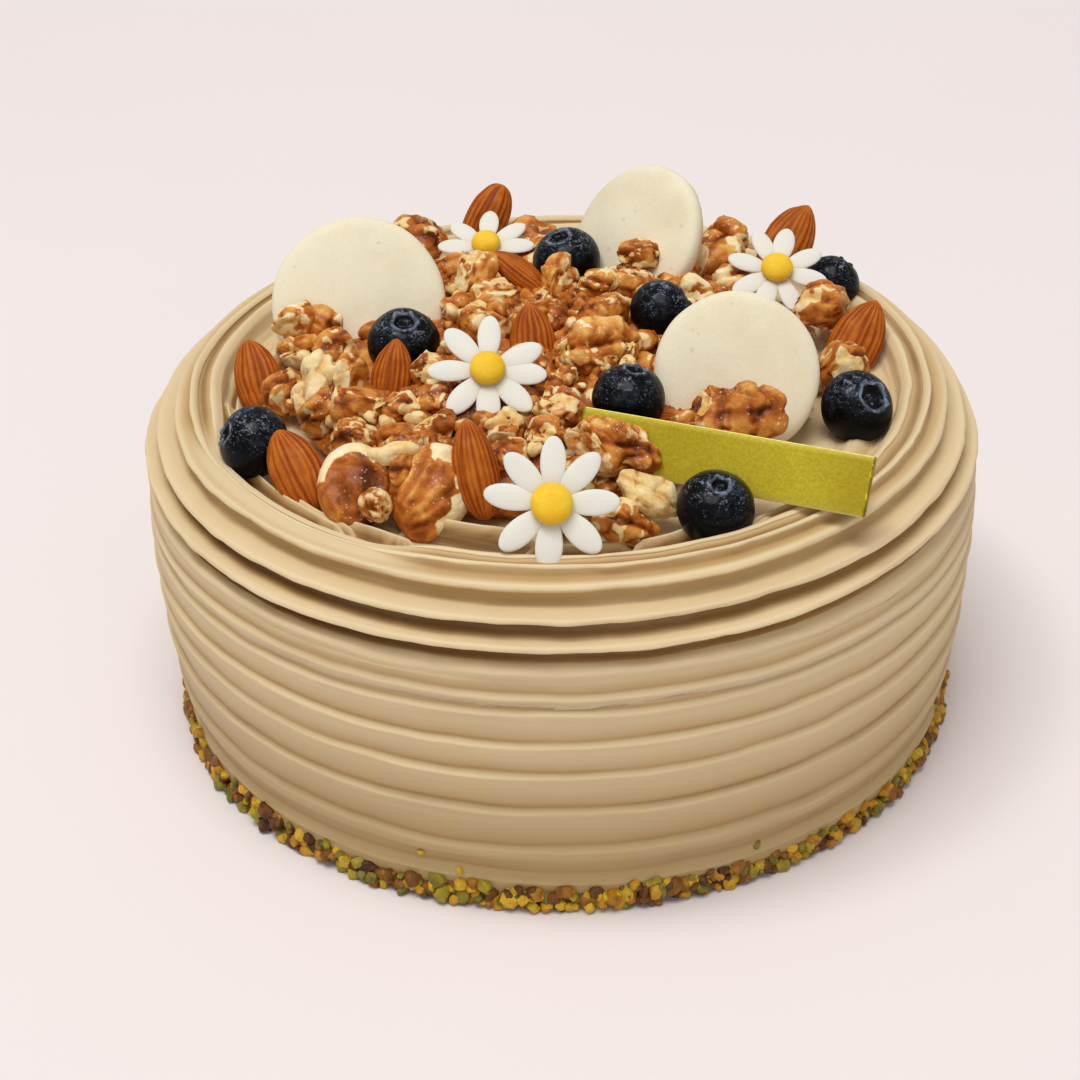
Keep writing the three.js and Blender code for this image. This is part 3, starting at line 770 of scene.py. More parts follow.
# the rings of one comb ridge: outwards from its crest, up and how dark the painted shade mark is; and
# those of the groove above it: share of the groove's depth, up and painted shade mark
CREST_RINGS = [(-0.32, -2.6, 0.2), (-0.1, -0.7, 0.1), (0.18, -0.05, 0.0), (-0.05, 0.35, 0.0)]
GROOVE_RINGS = [(0.85, -0.35, 0.38), (1.0, 0.1, 0.62), (0.7, 0.9, 0.5), (0.42, 2.6, 0.36)]


def row(radius, height, groove):
    """One ring of the icing: its radius, height and groove mark, each even or given all round."""
    return np.stack([radius + STILL, height + STILL, groove + STILL], axis=-1)


def comb_rows():
    """The foot and the combed side."""
    # the groove mark paints shade where the side meets the floor
    side = [row(60.0, 0, 0.3), row(93.4, 0, 0.5), row(94.5, 0, 0.5), row(95.0, 0.6, 0.4)]
    for number, (crest, groove, depth) in enumerate(RIDGES):
        lift = 0.55 * sway(ANGLE, number) + 0.3 * wander(ANGLE, number)
        deep = depth * (0.85 + 0.35 * wander(ANGLE, number + 40, 30.0))
        reach = side_radius(crest) - 0.1 + 0.3 * sway(ANGLE, number + 3)
        foot = side_radius(groove)
        side += [row(reach + out, crest + up + lift, mark) for out, up, mark in CREST_RINGS]
        side += [row(foot - deep * share, groove + up + lift, mark) for share, up, mark in GROOVE_RINGS]
    lift = 0.4 * sway(ANGLE, 7) + 0.3 * wander(ANGLE, 7)
    reach = side_radius(TOP_CREST)
    side.append(row(reach - 0.5, TOP_CREST - 1.6 + lift, 0.12))
    side.append(row(reach + 0.05, TOP_CREST - 0.2 + lift, 0.0))
    side.append(row(reach - 0.7, TOP_CREST + 0.7 + lift, 0.12))
    return side


def ragged_edge(number):
    """How far the edge of a lip frays outwards."""
    return 0.16 * wander(ANGLE, number + 20, 5.0) + 0.25 * wander(ANGLE, number + 30, 18.0)


def slot_lip_rows():
    """The three large lips with the slots under them, each slot painted dark as shadow."""
    rows = []
    open_share = gape(ANGLE)
    for number, (wall, floor, roof, edge, crown) in enumerate(SLOT_LIPS):
        lift = 0.7 * sway(ANGLE, number + 11)
        reach = 0.7 * sway(ANGLE, number + 5) if number else STILL
        edge_radius = edge[0] + reach - 0.25 + np.minimum(ragged_edge(number), 0.25)
        edge_height = edge[1] + lift + 0.2 * wander(ANGLE, number + 50, 8.0)
        wall_radius = edge_radius + (wall - edge[0]) * open_share
        floor_height = edge_height + (floor - edge[1]) * (0.35 + 0.65 * open_share)
        roof_height = edge_height + (roof - edge[1]) * (0.35 + 0.65 * open_share)
        # painted shadow in the slot: darker where it gapes wider at the front, and darker on the left than
        # the right
        dark = SLOT_SHADOW[number] * (0.4 + 0.6 * smooth_step(0.45, 1.0, open_share))
        dark = dark * (0.88 - 0.22 * np.cos(ANGLE))
        under = edge_radius + 0.3 if number else UNDER_FIRST_LIP + STILL
        inwards = edge_radius - wall_radius
        rows.append(row(under, floor_height + UNDER_SHIFT[number], 0.16 + 0.2 * dark))
        rows.append(row(wall_radius + inwards * 0.5, floor_height, 0.75 * dark))
        rows.append(row(wall_radius + 0.1, floor_height + 0.15, dark))
        rows.append(row(wall_radius, roof_height, dark))
        rows.append(row(wall_radius + inwards * 0.6, roof_height + 0.1, 0.8 * dark))
        rows.append(row(edge_radius - 0.3, edge_height - 0.5, 0.24))
        rows.append(row(edge_radius, edge_height, 0.0))
        rows.append(row(crown[0] + reach, crown[1] + lift, 0.0))
        rows.append(row(crown[0] + reach - 1.3, crown[1] + lift * 0.9 - 0.05, BEHIND_CROWN[number]))
    return rows


def small_lip_rows(kept):
    """The two small steps, which are whole where kept is 1 and smoothed away where it is 0."""
    rows = []
    for number, (stepped, smoothed) in enumerate(zip(SMALL_LIPS, SMOOTHED_LIPS)):
        lift = 0.7 * sway(ANGLE, number + 14)
        reach = 0.7 * sway(ANGLE, number + 8)
        groove, edge, crown, behind = (
            (kept * a[0] + (1 - kept) * b[0] + reach, kept * a[1] + (1 - kept) * b[1] + lift)
            for a, b in zip(stepped, smoothed)
        )
        edge_radius = edge[0] - 0.2 + np.minimum(ragged_edge(number + 3), 0.2)
        edge_height = edge[1] + kept * 0.2 * wander(ANGLE, number + 53, 8.0)
        # painted shade in each small groove and under its edge, where the step is kept
        rows.append(row(groove[0] + 0.8, groove[1] - 0.1, 0.12 + 0.5 * kept))
        rows.append(row(groove[0], groove[1] + 0.1, 0.12 + SMALL_GROOVE_SHADE[number] * kept))
        rows.append(row(edge_radius - 0.1, edge_height - 0.45 * kept, 0.12 + 0.34 * kept))
        rows.append(row(edge_radius, edge_height + 0.1, 0.0))
        rows.append(row(crown[0], crown[1], 0.0))
        rows.append(row(behind[0], behind[1], 0.12 + 0.2 * kept))
    return rows


FIRST_ROW, SMOOTHED_SHIFT = 80.8, 4.0
SHADOW_REACH = (0.4, 0.8, 1.2)
UNDER_HEAP = (62.5, 60.0, 45.0, 10.0)


def floor_rows(kept):
    """The floor with its spatula strokes, from the last small step to under the heap."""
    rows = []
    first_row = FIRST_ROW + SMOOTHED_SHIFT - SMOOTHED_SHIFT * kept
    for share in np.linspace(0, 1, FLOOR_ROWS):
        radius = first_row + (CORE_RADIUS - first_row) * share
        rise = floor_strokes(radius, ANGLE)
        # painted shadow: the groove mark darkens a band just outside each stroke's crest, where the stroke
        # stands higher nearer the middle
        foot = np.max([floor_strokes(radius - away, ANGLE) for away in SHADOW_REACH], axis=0) - rise
        rise = np.maximum(rise, np.interp(radius + FIRST_ROW - first_row, *FLOOR_RISE))
        height = FLOOR_HEIGHT + rise + 0.2 * wander(ANGLE, radius / 3, 10.0)
        rows.append(row(radius, height, 0.1 + 0.85 * smooth_step(0.4, 2.0, foot)))
    rows += [row(radius, FLOOR_HEIGHT, 0.3) for radius in UNDER_HEAP]
    return rows


# where the small steps are smoothed away on the left: where it sets in and where it ends, from
# not at all to fully
SMOOTHED_FROM = (-170, -152)
SMOOTHED_TO = (-108, -120)


def icing_shell():
    """The whole skin of the icing, from the middle of the foot up, over the rim and inwards."""
    compass = np.degrees(np.mod(ANGLE + math.pi, TURN) - math.pi)
    kept = 1 - smooth_step(*SMOOTHED_FROM, compass) * smooth_step(*SMOOTHED_TO, compass)
    side = np.stack(comb_rows())
    top = chaikin(np.stack([side[-1]] + slot_lip_rows() + small_lip_rows(kept)))
    floor = np.stack([top[-1]] + floor_rows(kept))
    rows = np.concatenate([chaikin(side), chaikin(top)[1:], chaikin(floor)[1:]])

    radius, height, groove = rows[..., 0], rows[..., 1], rows[..., 2]
    circle = rings(np.ones_like(height), np.zeros_like(height), ANGLE)
    where = circle * radius[..., None] + np.array([0, 0, 1.0]) * height[..., None]
    shown = smooth_step(0.0, 2.0, height)
    rough = 0.2 * noise(where / np.array([9.0, 9.0, 4.0]), 3)
    rough += 0.1 * noise(where / np.array([16.0, 16.0, 0.9]), 4)
    rough += 0.05 * noise(where / 2.2, 8)
    radius = np.minimum(radius + rough * shown * smooth_step(56, 66, radius), WIDEST)
    return ring_skin(rings(radius, height, ANGLE), {"groove": groove})


piece("icing", icing_shell(), ICING, ["cake"])


# ---------------------------------------------------------------- chopped pistachio
CRUMB_SEED = 71
RING_CRUMBS = 1150
# single crumbs that stick to the side: compass angle and height
STRAY_CRUMBS = [
    (-110.6, 13.4),
    (-105.3, 9.8),
    (-64, 10.4),
    (-20, 11.2),
    (33, 10.5),
    (78, 12.0),
    (140, 10.6),
]
CRUMB_SHAPE = {"Crumb Size": 1.25 * MM, "Stretch": 0.4, "Roughness": 0.9}
LOWEST_CRUMB = 0.2 * MM


def crumb_points():
    """A point for each crumb, round the foot of the side and a little way up it."""
    random = np.random.default_rng(CRUMB_SEED)
    angle = TURN * (np.arange(RING_CRUMBS) + random.random(RING_CRUMBS)) / RING_CRUMBS
    size = 1.0 + 0.95 * random.random(RING_CRUMBS) ** 1.6
    crowd = 0.75 + 0.25 * noise(rings(12, 0, angle), 9)
    height = size * 0.8 + 6.4 * crowd * random.random(RING_CRUMBS) ** 1.6
    outward = 2.4 * random.random(RING_CRUMBS) * np.clip(1 - height / 6.5, 0.1, 1)
    reach = side_radius(height) - 0.1 + outward
    compass, high = np.array(STRAY_CRUMBS).T
    strays = rings(side_radius(high) - 0.5, high, np.radians(compass))
    corners = np.concatenate([rings(reach, height, angle), strays])
    return corners, np.concatenate([size, np.ones(len(strays))])


def crumb_tree():
    """Geometry Nodes that put an angular crumb, turned and stretched at random, on each point."""
    tree = bpy.data.node_groups.new("chopped_pistachio", "GeometryNodeTree")
    for label, kind in (
        ("Geometry", "NodeSocketGeometry"),
        ("Crumb Size", "NodeSocketFloat"),
        ("Stretch", "NodeSocketFloat"),
        ("Roughness", "NodeSocketFloat"),
        ("Seed", "NodeSocketInt"),
        ("Finish", "NodeSocketMaterial"),
    ):
        tree.interface.new_socket(label, in_out="INPUT", socket_type=kind)
    tree.interface.new_socket("Geometry", in_out="OUTPUT", socket_type="NodeSocketGeometry")
    entry = tree.nodes.new("NodeGroupInput").outputs
    leave = tree.nodes.new("NodeGroupOutput").inputs
    n = Nodes(tree)

    def vector(kind, a, b):
        name = "Scale" if kind == "SCALE" else 1
        return n.add("ShaderNodeVectorMath", {0: a, name: b}, operation=kind)["Vector"]

    def random_value(kind, low, high, offset):
        made = tree.nodes.new("FunctionNodeRandomValue")
        made.data_type = kind
        ports = [socket for socket in made.inputs if socket.enabled]
        ports[0].default_value, ports[1].default_value = low, high
        n.put(made.inputs["Seed"], n.sum("ADD", entry["Seed"], offset))
        return next(socket for socket in made.outputs if socket.enabled)

    # one crumb: a small cube, partly rounded
    crumb = n.add("GeometryNodeMeshCube", {"Vertices X": 3, "Vertices Y": 3, "Vertices Z": 3})["Mesh"]
    place = n.add("GeometryNodeInputPosition")["Position"]
    unit = n.add("ShaderNodeVectorMath", {0: place}, operation="NORMALIZE")["Vector"]
    round_share = 0.62
    blend = n.add("ShaderNodeMix", {0: round_share, 4: place, 5: unit}, data_type="VECTOR")[1]
    crumb = n.add("GeometryNodeSetPosition", {"Geometry": crumb, "Position": blend})["Geometry"]

    turn = random_value("FLOAT_VECTOR", (0.0, 0.0, 0.0), (TURN, TURN, TURN), 3)
    spread = random_value("FLOAT_VECTOR", (-1.0, -1.0, -1.0), (1.0, 1.0, 1.0), 5)
    shade = random_value("FLOAT", 0.0, 1.0, 7)

    own = n.add("GeometryNodeInputNamedAttribute", {"Name": "size"}, data_type="FLOAT")["Attribute"]
    stretched = vector("ADD", vector("SCALE", spread, entry["Stretch"]), (1.0, 1.0, 1.0))
    scale = vector("SCALE", stretched, n.times(own, entry["Crumb Size"]))
    turned = n.add("FunctionNodeEulerToRotation", {0: turn})[0]
    scatter = {"Points": entry["Geometry"], "Instance": crumb, "Rotation": turned, "Scale": scale}
    crumbs = n.add("GeometryNodeInstanceOnPoints", scatter)["Instances"]

    marked = tree.nodes.new("GeometryNodeStoreNamedAttribute")
    marked.data_type, marked.domain = "FLOAT", "INSTANCE"
    n.put(marked.inputs["Name"], "shade")
    n.put(marked.inputs["Geometry"], crumbs)
    n.put(next(s for s in marked.inputs if s.name == "Value" and s.enabled), shade)
    real = n.add("GeometryNodeRealizeInstances", {"Geometry": marked.outputs["Geometry"]})["Geometry"]

    # the corners are knocked about, so that every crumb is chopped another way
    there = n.add("GeometryNodeInputPosition")["Position"]
    chop = {"Vector": there, "Scale": 420.0, "Detail": 1.0}
    chop = n.add("ShaderNodeTexNoise", chop)["Color"]
    reach = n.times(entry["Roughness"], entry["Crumb Size"])
    push = vector("SCALE", vector("SUBTRACT", chop, (0.5, 0.5, 0.5)), reach)
    chopped = n.add("GeometryNodeSetPosition", {"Geometry": real, "Offset": push})["Geometry"]
    flat = n.add("GeometryNodeSetShadeSmooth", {"Geometry": chopped, "Shade Smooth": False})["Geometry"]
    finish = n.add("GeometryNodeSetMaterial", {"Geometry": flat, "Material": entry["Finish"]})
    n.put(leave["Geometry"], finish["Geometry"])
    return tree


def pistachio_ring():
    corners, sizes = crumb_points()
    mesh = bpy.data.meshes.new("crumb_points")
    mesh.from_pydata((corners * MM).tolist(), [], [])
    layer = mesh.attributes.new("size", "FLOAT", "POINT")
    layer.data.foreach_set("value", sizes.astype(np.float32))
    seeds = linked("crumb_points", mesh)
    tree = crumb_tree()
    modifier = seeds.modifiers.new("crumbs", "NODES")
    modifier.node_group = tree
    wanted = {**CRUMB_SHAPE, "Seed": CRUMB_SEED, "Finish": PISTACHIO}
    for socket in tree.interface.items_tree:
        if socket.in_out == "INPUT" and socket.name in wanted:
            modifier[socket.identifier] = wanted[socket.name]
    seeds.update_tag()
    depsgraph = bpy.context.evaluated_depsgraph_get()
    made_mesh = bpy.data.meshes.new_from_object(seeds.evaluated_get(depsgraph), depsgraph=depsgraph)
    seeds.modifiers.remove(modifier)
    bpy.data.objects.remove(seeds, do_unlink=True)
    for corner in made_mesh.vertices:
        corner.co.z = max(corner.co.z, LOWEST_CRUMB)
    made = linked("pistachio_crumbs", made_mesh)
    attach(made, "root")


pistachio_ring()


# ---------------------------------------------------------------- where the toppings lie
def spots(keys, rows):
    """The pieces of one table, each as its values under the table's keys. Places and sizes are in
    millimetres and turns in degrees."""
    return [dict(zip(keys, row)) for row in rows]


MACARON_SHELLS = spots(
    ("name", "at", "facing", "tilt", "spin", "across"),
    [
        ("macaron_left", (-49, 18, 97.8), -92, 54, 0, 43),
        ("macaron_back", (20.5, 47, 99.5), -142, 54, 0, 40),
        ("macaron_right", (41, -20.5, 96.8), -88, 56, 0, 39),
    ],
)
SHELL_THICKNESS = 7.0

BLUEBERRIES = spots(
    ("name", "at", "facing", "tilt", "across", "crown"),
    [
        ("blueberry_left", (-70.8, -36.4, 90.4), -165, 62, 17.0, 0.3),
        ("blueberry_shell", (-37.4, -0.4, 96.2), -78, 18, 17.6, 0.32),
        ("blueberry_back", (2.6, 44, 96), -150, 18, 17.4, 0.32),
        ("blueberry_middle", (25.0, 8, 98.6), 15, 62, 16.4, 0.32),
        ("blueberry_strip", (15.3, -31.4, 97.0), 27, 13, 17.0, 0.28),
        ("blueberry_right", (69.3, -21.6, 88.0), -50, 46, 17.2, 0.4),
        ("blueberry_hidden", (70, 40, 90), 40, 50, 14.4, 0.32),
        ("blueberry_front", (33, -67, 88.8), -73, 18, 17.4, 0.25),
    ],
)

ALMONDS = spots(
    ("name", "at", "facing", "tilt", "spin", "size"),
    [
        ("almond_left", (-73, -2, 88.4), -108, 52, 206, (20, 11.5, 7.5)),
        ("almond_front_left", (-60.4, -47.2, 88.9), -100, 52, 212, (21, 12.4, 8)),
        ("almond_shell", (-39.8, -14, 94.6), -100, 60, 176, (18, 10, 7)),
        ("almond_front", (-19.6, -57.6, 94.4), -78, 58, 184, (23, 10.4, 8)),
        ("almond_back", (-18.5, 76, 92), -84, 64, 330, (22, 11.5, 7.5)),
        ("almond_heap", (-6.5, -3, 97.5), -95, 60, 188, (18, 11, 7)),
        ("almond_dark", (-9.5, 32.4, 98.2), -80, 45, 224, (17, 7.4, 6.2)),
        ("almond_back_right", (60.5, 61, 91), -84, 64, 147, (23, 13, 7.5)),
        ("almond_right", (73.2, 12.4, 87.6), -90, 58, 152, (22, 13, 7.5)),
        ("almond_strip", (18.6, -33.2, 91.2), -90, 50, 100, (16, 9.4, 7)),
    ],
)

# the sugar daisies: how far across petals and heart are, and how far each petal strays from an
# even eighth of a turn, in degrees
DAISIES = spots(
    ("name", "at", "facing", "tilt", "spin", "across", "heart", "strays"),
    [
        ("daisy_front", (-3, -76.5, 96.3), -90, 54, 0, 30, 9.2, (-5, -1, 1, 1, -3, -4, -11, -5)),
        ("daisy_middle", (-17, -25, 101.5), -88, 40, 0, 28, 8.2, (-1, -2, -7, -22, -5, -4, -2, 2)),
        ("daisy_back", (-18, 53, 95.8), -92, 22, 0, 25, 7.4, (9, 6, 2, -8, -4, 4, 0, 3)),
        ("daisy_right", (55, 33, 97), -86, 32, 22, 26, 8.0, (-4, 5, 0, 3, -4, 2, 4, -3)),
    ],
)
PETALS = 8
PETAL_THICKNESS = 1.5

GOLD_STRIP = {
    "at": (35, -56.6, 94.5),
    "facing": -112,
    "tilt": 55,
    "spin": 90,
    "size": (68, 13.5, 0.9),
}

LARGE_WALNUTS = spots(
    ("name", "at", "facing", "tilt", "spin", "size"),
    [
        ("walnut_front_left", (-38, -57, 89.5), -95, 45, 92, (34, 24, 15)),
        ("walnut_middle", (8.5, -12, 99.5), -90, 40, 100, (25, 14, 12)),
        ("walnut_right", (40.2, -36, 95), -95, 55, 86, (23, 16, 9)),
        ("walnut_front_ridge", (11, -51.5, 95.5), -80, 40, 70, (23, 12, 11)),
        ("walnut_front_pale", (18.8, -63, 89.8), -70, 50, 50, (18, 9.5, 9)),
        ("walnut_front_low", (12.5, -70, 87), -80, 45, 60, (16, 10, 10)),
        ("walnut_left_pale", (-58, -13, 92.8), -100, 50, 162, (17, 9, 8)),
        ("walnut_left_high", (-64, 8, 98), -110, 50, 140, (13, 9, 8)),
        ("walnut_left_low", (-66, -9, 88.5), -110, 40, 140, (13, 11, 13)),
        ("walnut_back_left", (-36.4, 60, 95.8), -100, 50, 95, (19, 14, 11)),
        ("walnut_back", (21, 36, 101), -90, 35, 95, (13, 9, 8)),
        ("walnut_right_edge", (65.5, 22, 92.6), -70, 45, 70, (17, 13, 11)),
        ("walnut_right_low", (68, -4, 89.5), -80, 35, 95, (15, 11, 14)),
    ],
)

# smaller walnuts of the heap: place, tilt, spin and size
HEAP_FACING = -92
HEAP_WALNUTS = [
    ((-57, 9, 97), 40, 60, (12, 8, 8)),
    ((-62.5, 4, 90.5), 40, 90, (13, 11, 14)),
    ((-54, 1, 95.5), 40, 120, (11, 10, 8)),
    ((-50, -14, 95), 40, 140, (10, 9, 9)),
    ((-31, -16, 97), 35, 80, (11, 9, 8)),
    ((-29, -27, 96), 35, 100, (11, 9, 8)),
    ((-48, -26, 94), 40, 90, (13, 10, 9)),
    ((-56, -22, 90), 40, 120, (13, 11, 11)),
    ((-38, -30, 95), 40, 90, (11, 9, 8)),
    ((-29, -40, 94), 40, 60, (10, 9, 8)),
    ((-47, -37, 91.5), 45, 95, (12, 9, 8)),
    ((-36, -42, 93), 40, 90, (13, 9, 8)),
    ((-23, -32, 96), 35, 90, (10, 9, 8)),
    ((-13, -42, 95), 40, 95, (12, 9, 9)),
    ((-12, -50, 92.5), 45, 80, (12, 10, 9)),
    ((-4, -45, 95), 40, 70, (11, 9, 9)),
    ((0, -34, 96), 35, 110, (13, 10, 9)),
    ((1, -56, 91.5), 45, 95, (14, 11, 10)),
    ((1, -62, 87.5), 40, 95, (15, 13, 16)),
    ((28, -38, 90.5), 40, 120, (12, 10, 14)),
    ((-21, 29, 99.6), 30, 150, (15, 11, 10)),
    ((-16, 18, 99), 30, 110, (15, 9, 9)),
    ((-18, 3, 99), 30, 80, (15, 10, 9)),
    ((-4, 9, 99), 30, 90, (11, 9, 9)),
    ((0, 29, 98.5), 45, 170, (12, 9, 9)),
    ((10, 23, 98.5), 30, 60, (11, 9, 9)),
    ((10, 7, 99.5), 30, 95, (15, 10, 10)),
    ((-8, -14, 97.5), 35, 120, (12, 10, 9)),
    ((-28, 40, 95), 25, 100, (14, 11, 10)),
    ((-6, 53, 93.5), 30, 120, (13, 10, 9)),
    ((-5, 63, 91), 20, 90, (17, 14, 16)),
    ((19, 26, 98), 30, 80, (15, 9, 9)),
    ((32, 22, 96), 30, 60, (14, 10, 9)),
    ((44, 36, 93), 35, 110, (13, 10, 9)),
    ((39.5, 50, 91), 30, 150, (19, 15, 17)),
    ((43, 57, 93.5), 30, 60, (15, 14, 15)),
    ((54, 22, 90), 40, 90, (14, 10, 13)),
    ((-55, 36, 87), 20, 80, (15, 12, 12)),
    ((-44, 46, 88), 20, 95, (15, 12, 12)),
    ((22, 63, 88), 10, 95, (16, 13, 13)),
]

# how far nuts are kept under the middle plane of a daisy, and off the faces of the strip
UNDER_DAISY = -1.1
STRIP_GAP = 0.25


def give_way(corners):
    """Presses a nut back where it would poke through a daisy or the strip that lies on it."""
    for spot in DAISIES:
        own = unplaced(corners, spot)
        if own[:, 2].mean() < 2.0:
            under = np.hypot(own[:, 0], own[:, 1]) < spot["across"] / 2 + 0.5
            own[under, 2] = np.minimum(own[under, 2], UNDER_DAISY)
            corners = placed(own, spot)
    own = unplaced(corners, GOLD_STRIP)
    length, width, thickness = GOLD_STRIP["size"]
    side = 1 if own[:, 2].mean() > 0 else -1
    across = (np.abs(own[:, 0]) < length / 2 + 0.3) & (np.abs(own[:, 1]) < width / 2 + 0.3)
    crossing = across & (own[:, 2] * side < thickness / 2 + STRIP_GAP)
    own[crossing, 2] = side * (thickness / 2 + STRIP_GAP)
    return placed(own, GOLD_STRIP)


# ---------------------------------------------------------------- macaron shells
def macaron_shell(spot, number):
    """A flat underside, a narrow ruffled foot and a smooth dome, a little uneven all over."""
    radius = spot["across"] / 2
    half = SHELL_THICKNESS / 2
    outline = [(0.3, -half), (0.6, -half), (0.8, -half), (0.9, -half + 0.1), (0.945, -half + 0.5)]
    outline += [(0.975, -half * 0.6), (0.99, -half * 0.35), (1.0, -half * 0.05), (0.995, half * 0.2)]
    outline += [(0.975, half * 0.42), (0.94, half * 0.58), (0.89, half * 0.7), (0.8, half * 0.8)]
    outline += [(0.68, half * 0.88), (0.52, half * 0.94), (0.35, half * 0.98), (0.17, half), (0.03, half)]
    rows = chaikin(np.array([(share * radius, height) for share, height in outline]))
    angle = turns_round(128)
    reach, height = rows[:, :1], rows[:, 1:]
    circle = rings(1, 0, angle)
    ruffled = np.exp(-(((height + half * 0.62) / 0.7) ** 2)) * smooth_step(0.9, 0.97, reach / radius)
    ruffles = 0.28 * noise(rings(14, 1.4 * height, angle), 12 + number)
    reach = reach * (1 + 0.008 * noise(circle * 2.2 + number * 9, 11)) + ruffled * ruffles
    swell = 0.14 * noise(rings(reach / 9, number, angle), 13)
    corners = rings(reach, height + swell * smooth_step(0.0, half, height), angle)
    foot = np.broadcast_to(ruffled, corners.shape[:2])
    return ring_skin(corners, {"foot": foot}).set_down(spot)


for number, spot in enumerate(MACARON_SHELLS):
    piece(f"{spot['name']}_shell", macaron_shell(spot, number), MACARON, [spot["name"]])


# ---------------------------------------------------------------- blueberries
CROWN_LIP = ((0.075, 0.02), (0.045, 0.05), (0.01, 0.06), (-0.03, 0.04), (-0.06, -0.03))


def blueberry(spot, number):
    """A slightly flattened ball with a five-pointed crown round a dark dimple."""
    angle = turns_round(72)
    ring = spot["crown"]
    shoulder = math.acos(ring + 0.12)
    outline = [(np.cos(a) ** 0.94, 0.9 * np.sin(a)) for a in np.linspace(math.radians(-84), shoulder, 30)]
    top = 0.9 * math.sin(shoulder)
    outline += [(ring + out, top + up) for out, up in CROWN_LIP]
    outline += [(ring * 0.62, top - 0.08), (ring * 0.35, top - 0.1), (ring * 0.12, top - 0.1)]
    outline = np.array(outline)
    reach = outline[:, :1] + 0 * angle
    height = outline[:, 1:] + 0 * angle
    crown = smooth_step(top + 0.01, top + 0.055, height) * smooth_step(ring * 0.6, ring * 0.9, reach)
    points = np.cos(5 * angle + 0.5 * number + 0.35 * np.sin(2 * angle + number))
    reach = reach * (1 + 0.16 * crown * points)
    height = height + 0.035 * crown * points - 0.015 * crown
    skin = rings(reach, height, angle)
    uneven = 0.018 * noise(skin * 1.3 + 5 * number, 14) + 0.006 * noise(skin * 6 + number, 15)
    skin = skin * (1 + uneven)[..., None] * spot["across"] / 2
    dimple = smooth_step(ring * 0.95, ring * 0.75, reach) * smooth_step(0.6, 0.7, height)
    return ring_skin(skin, {"crown": dimple, "bloom": crown}).set_down({**spot, "spin": 0})


for number, spot in enumerate(BLUEBERRIES):
    piece(f"{spot['name']}_skin", blueberry(spot, number), BERRY, [spot["name"]])


# ---------------------------------------------------------------- almonds
BLUNT_END = -0.1


def almond(spot, number):
    """A whole almond, blunt at one end and pointed at the other, with grooves along it."""
    rows = 44
    angle = turns_round(140)
    along = -np.cos(np.pi * (np.arange(rows) + 0.5) / rows)[:, None]
    blunt = np.sqrt(np.clip(1 - ((along - BLUNT_END) / (1 + BLUNT_END)) ** 2, 0, 1))
    pointed = (1 - np.clip((along - BLUNT_END) / (1 - BLUNT_END), 0, 1) ** 2.2) ** 0.72
    girth = np.where(along < BLUNT_END, blunt, pointed) + 0 * angle
    wobble = 1.5 * noise(rings(1.5, 1.6 * along, angle)[..., [2, 0, 1]] + 3 * number, 16)
    where = rings(5.4, 1.1 * along, angle)
    line = 0.7 * noise(where + wobble[..., None] * 0.2 + 5 * number, 26)
    line = line + 0.55 * np.cos(21 * angle + 1.6 * noise(where * 0.7 + 5 * number, 27) + 0.5 * wobble)
    groove = smooth_step(-0.35, 0.75, line) * smooth_step(0.1, 0.5, girth)
    girth = girth * (1 - 0.045 * groove + 0.02 * np.cos(2 * angle + number))
    bend = 0.05 * (1 - along**2)
    corners = [along + 0 * angle, girth * np.cos(angle), girth * np.sin(angle) - bend]
    corners = np.stack(corners, axis=-1) * np.array(spot["size"]) / 2
    corners += 0.12 * noise(corners / 2.6 + number, 17)[..., None]
    return ring_skin(corners, {"groove": groove}).set_down(spot)


for number, spot in enumerate(ALMONDS):
    piece(f"{spot['name']}_kernel", almond(spot, number), ALMOND, [spot["name"]])


# ---------------------------------------------------------------- sugar daisies
# half a petal's width as a share of its reach, where it starts, where along it is widest, and
# how far the foot of the heart stands above the petals' upper faces
PETAL_SLIMNESS = 0.197
PETAL_START = 2.2
WIDEST_SHARE = 0.56
HEART_LIFT = 0.32
# the disc that joins the petals under the heart: radius and height
DISC = [(1.2, -0.6), (2.8, -0.6), (3.5, -0.3), (3.7, 0.1), (3.4, 0.55), (2.6, 0.72), (1.2, 0.74)]


def petal(turn, length, width, lift):
    """One plump petal, from near the heart to its rounded tip."""
    rows = 26
    share = (0.5 - 0.5 * np.cos(np.pi * (np.arange(rows) + 0.6) / (rows + 0.2)))[:, None]
    angle = turns_round(24)
    along = PETAL_START + (length - PETAL_START) * share
    towards_heart = 0.42 + 0.58 * np.sin(np.pi / 2 * np.clip(share / WIDEST_SHARE, 0, 1))
    past_widest = (share - WIDEST_SHARE) / (1.002 - WIDEST_SHARE)
    towards_tip = np.sqrt(np.clip(1 - past_widest**2, 0, 1))
    half = width * np.where(share < WIDEST_SHARE, towards_heart, towards_tip)
    plump = np.sqrt(np.clip(half / width, 0, 1))
    side = half * np.cos(angle)
    height = PETAL_THICKNESS / 2 * plump * np.sin(angle)
    height = np.where(height < 0, height * 0.7, height)
    hollow = 0.12 * (1 - (side / width) ** 2) * smooth_step(0, 0.6, share)
    height = height + lift * (along / length) ** 2 - hollow
    c, s = math.cos(turn), math.sin(turn)
    corners = np.stack([along * c - side * s, along * s + side * c, height], axis=-1)
    # the inner mark, where warm shade is painted towards the heart
    inner = smooth_step(0.42, 0.05, share) + 0 * angle
    return ring_skin(corners, {"inner": inner})


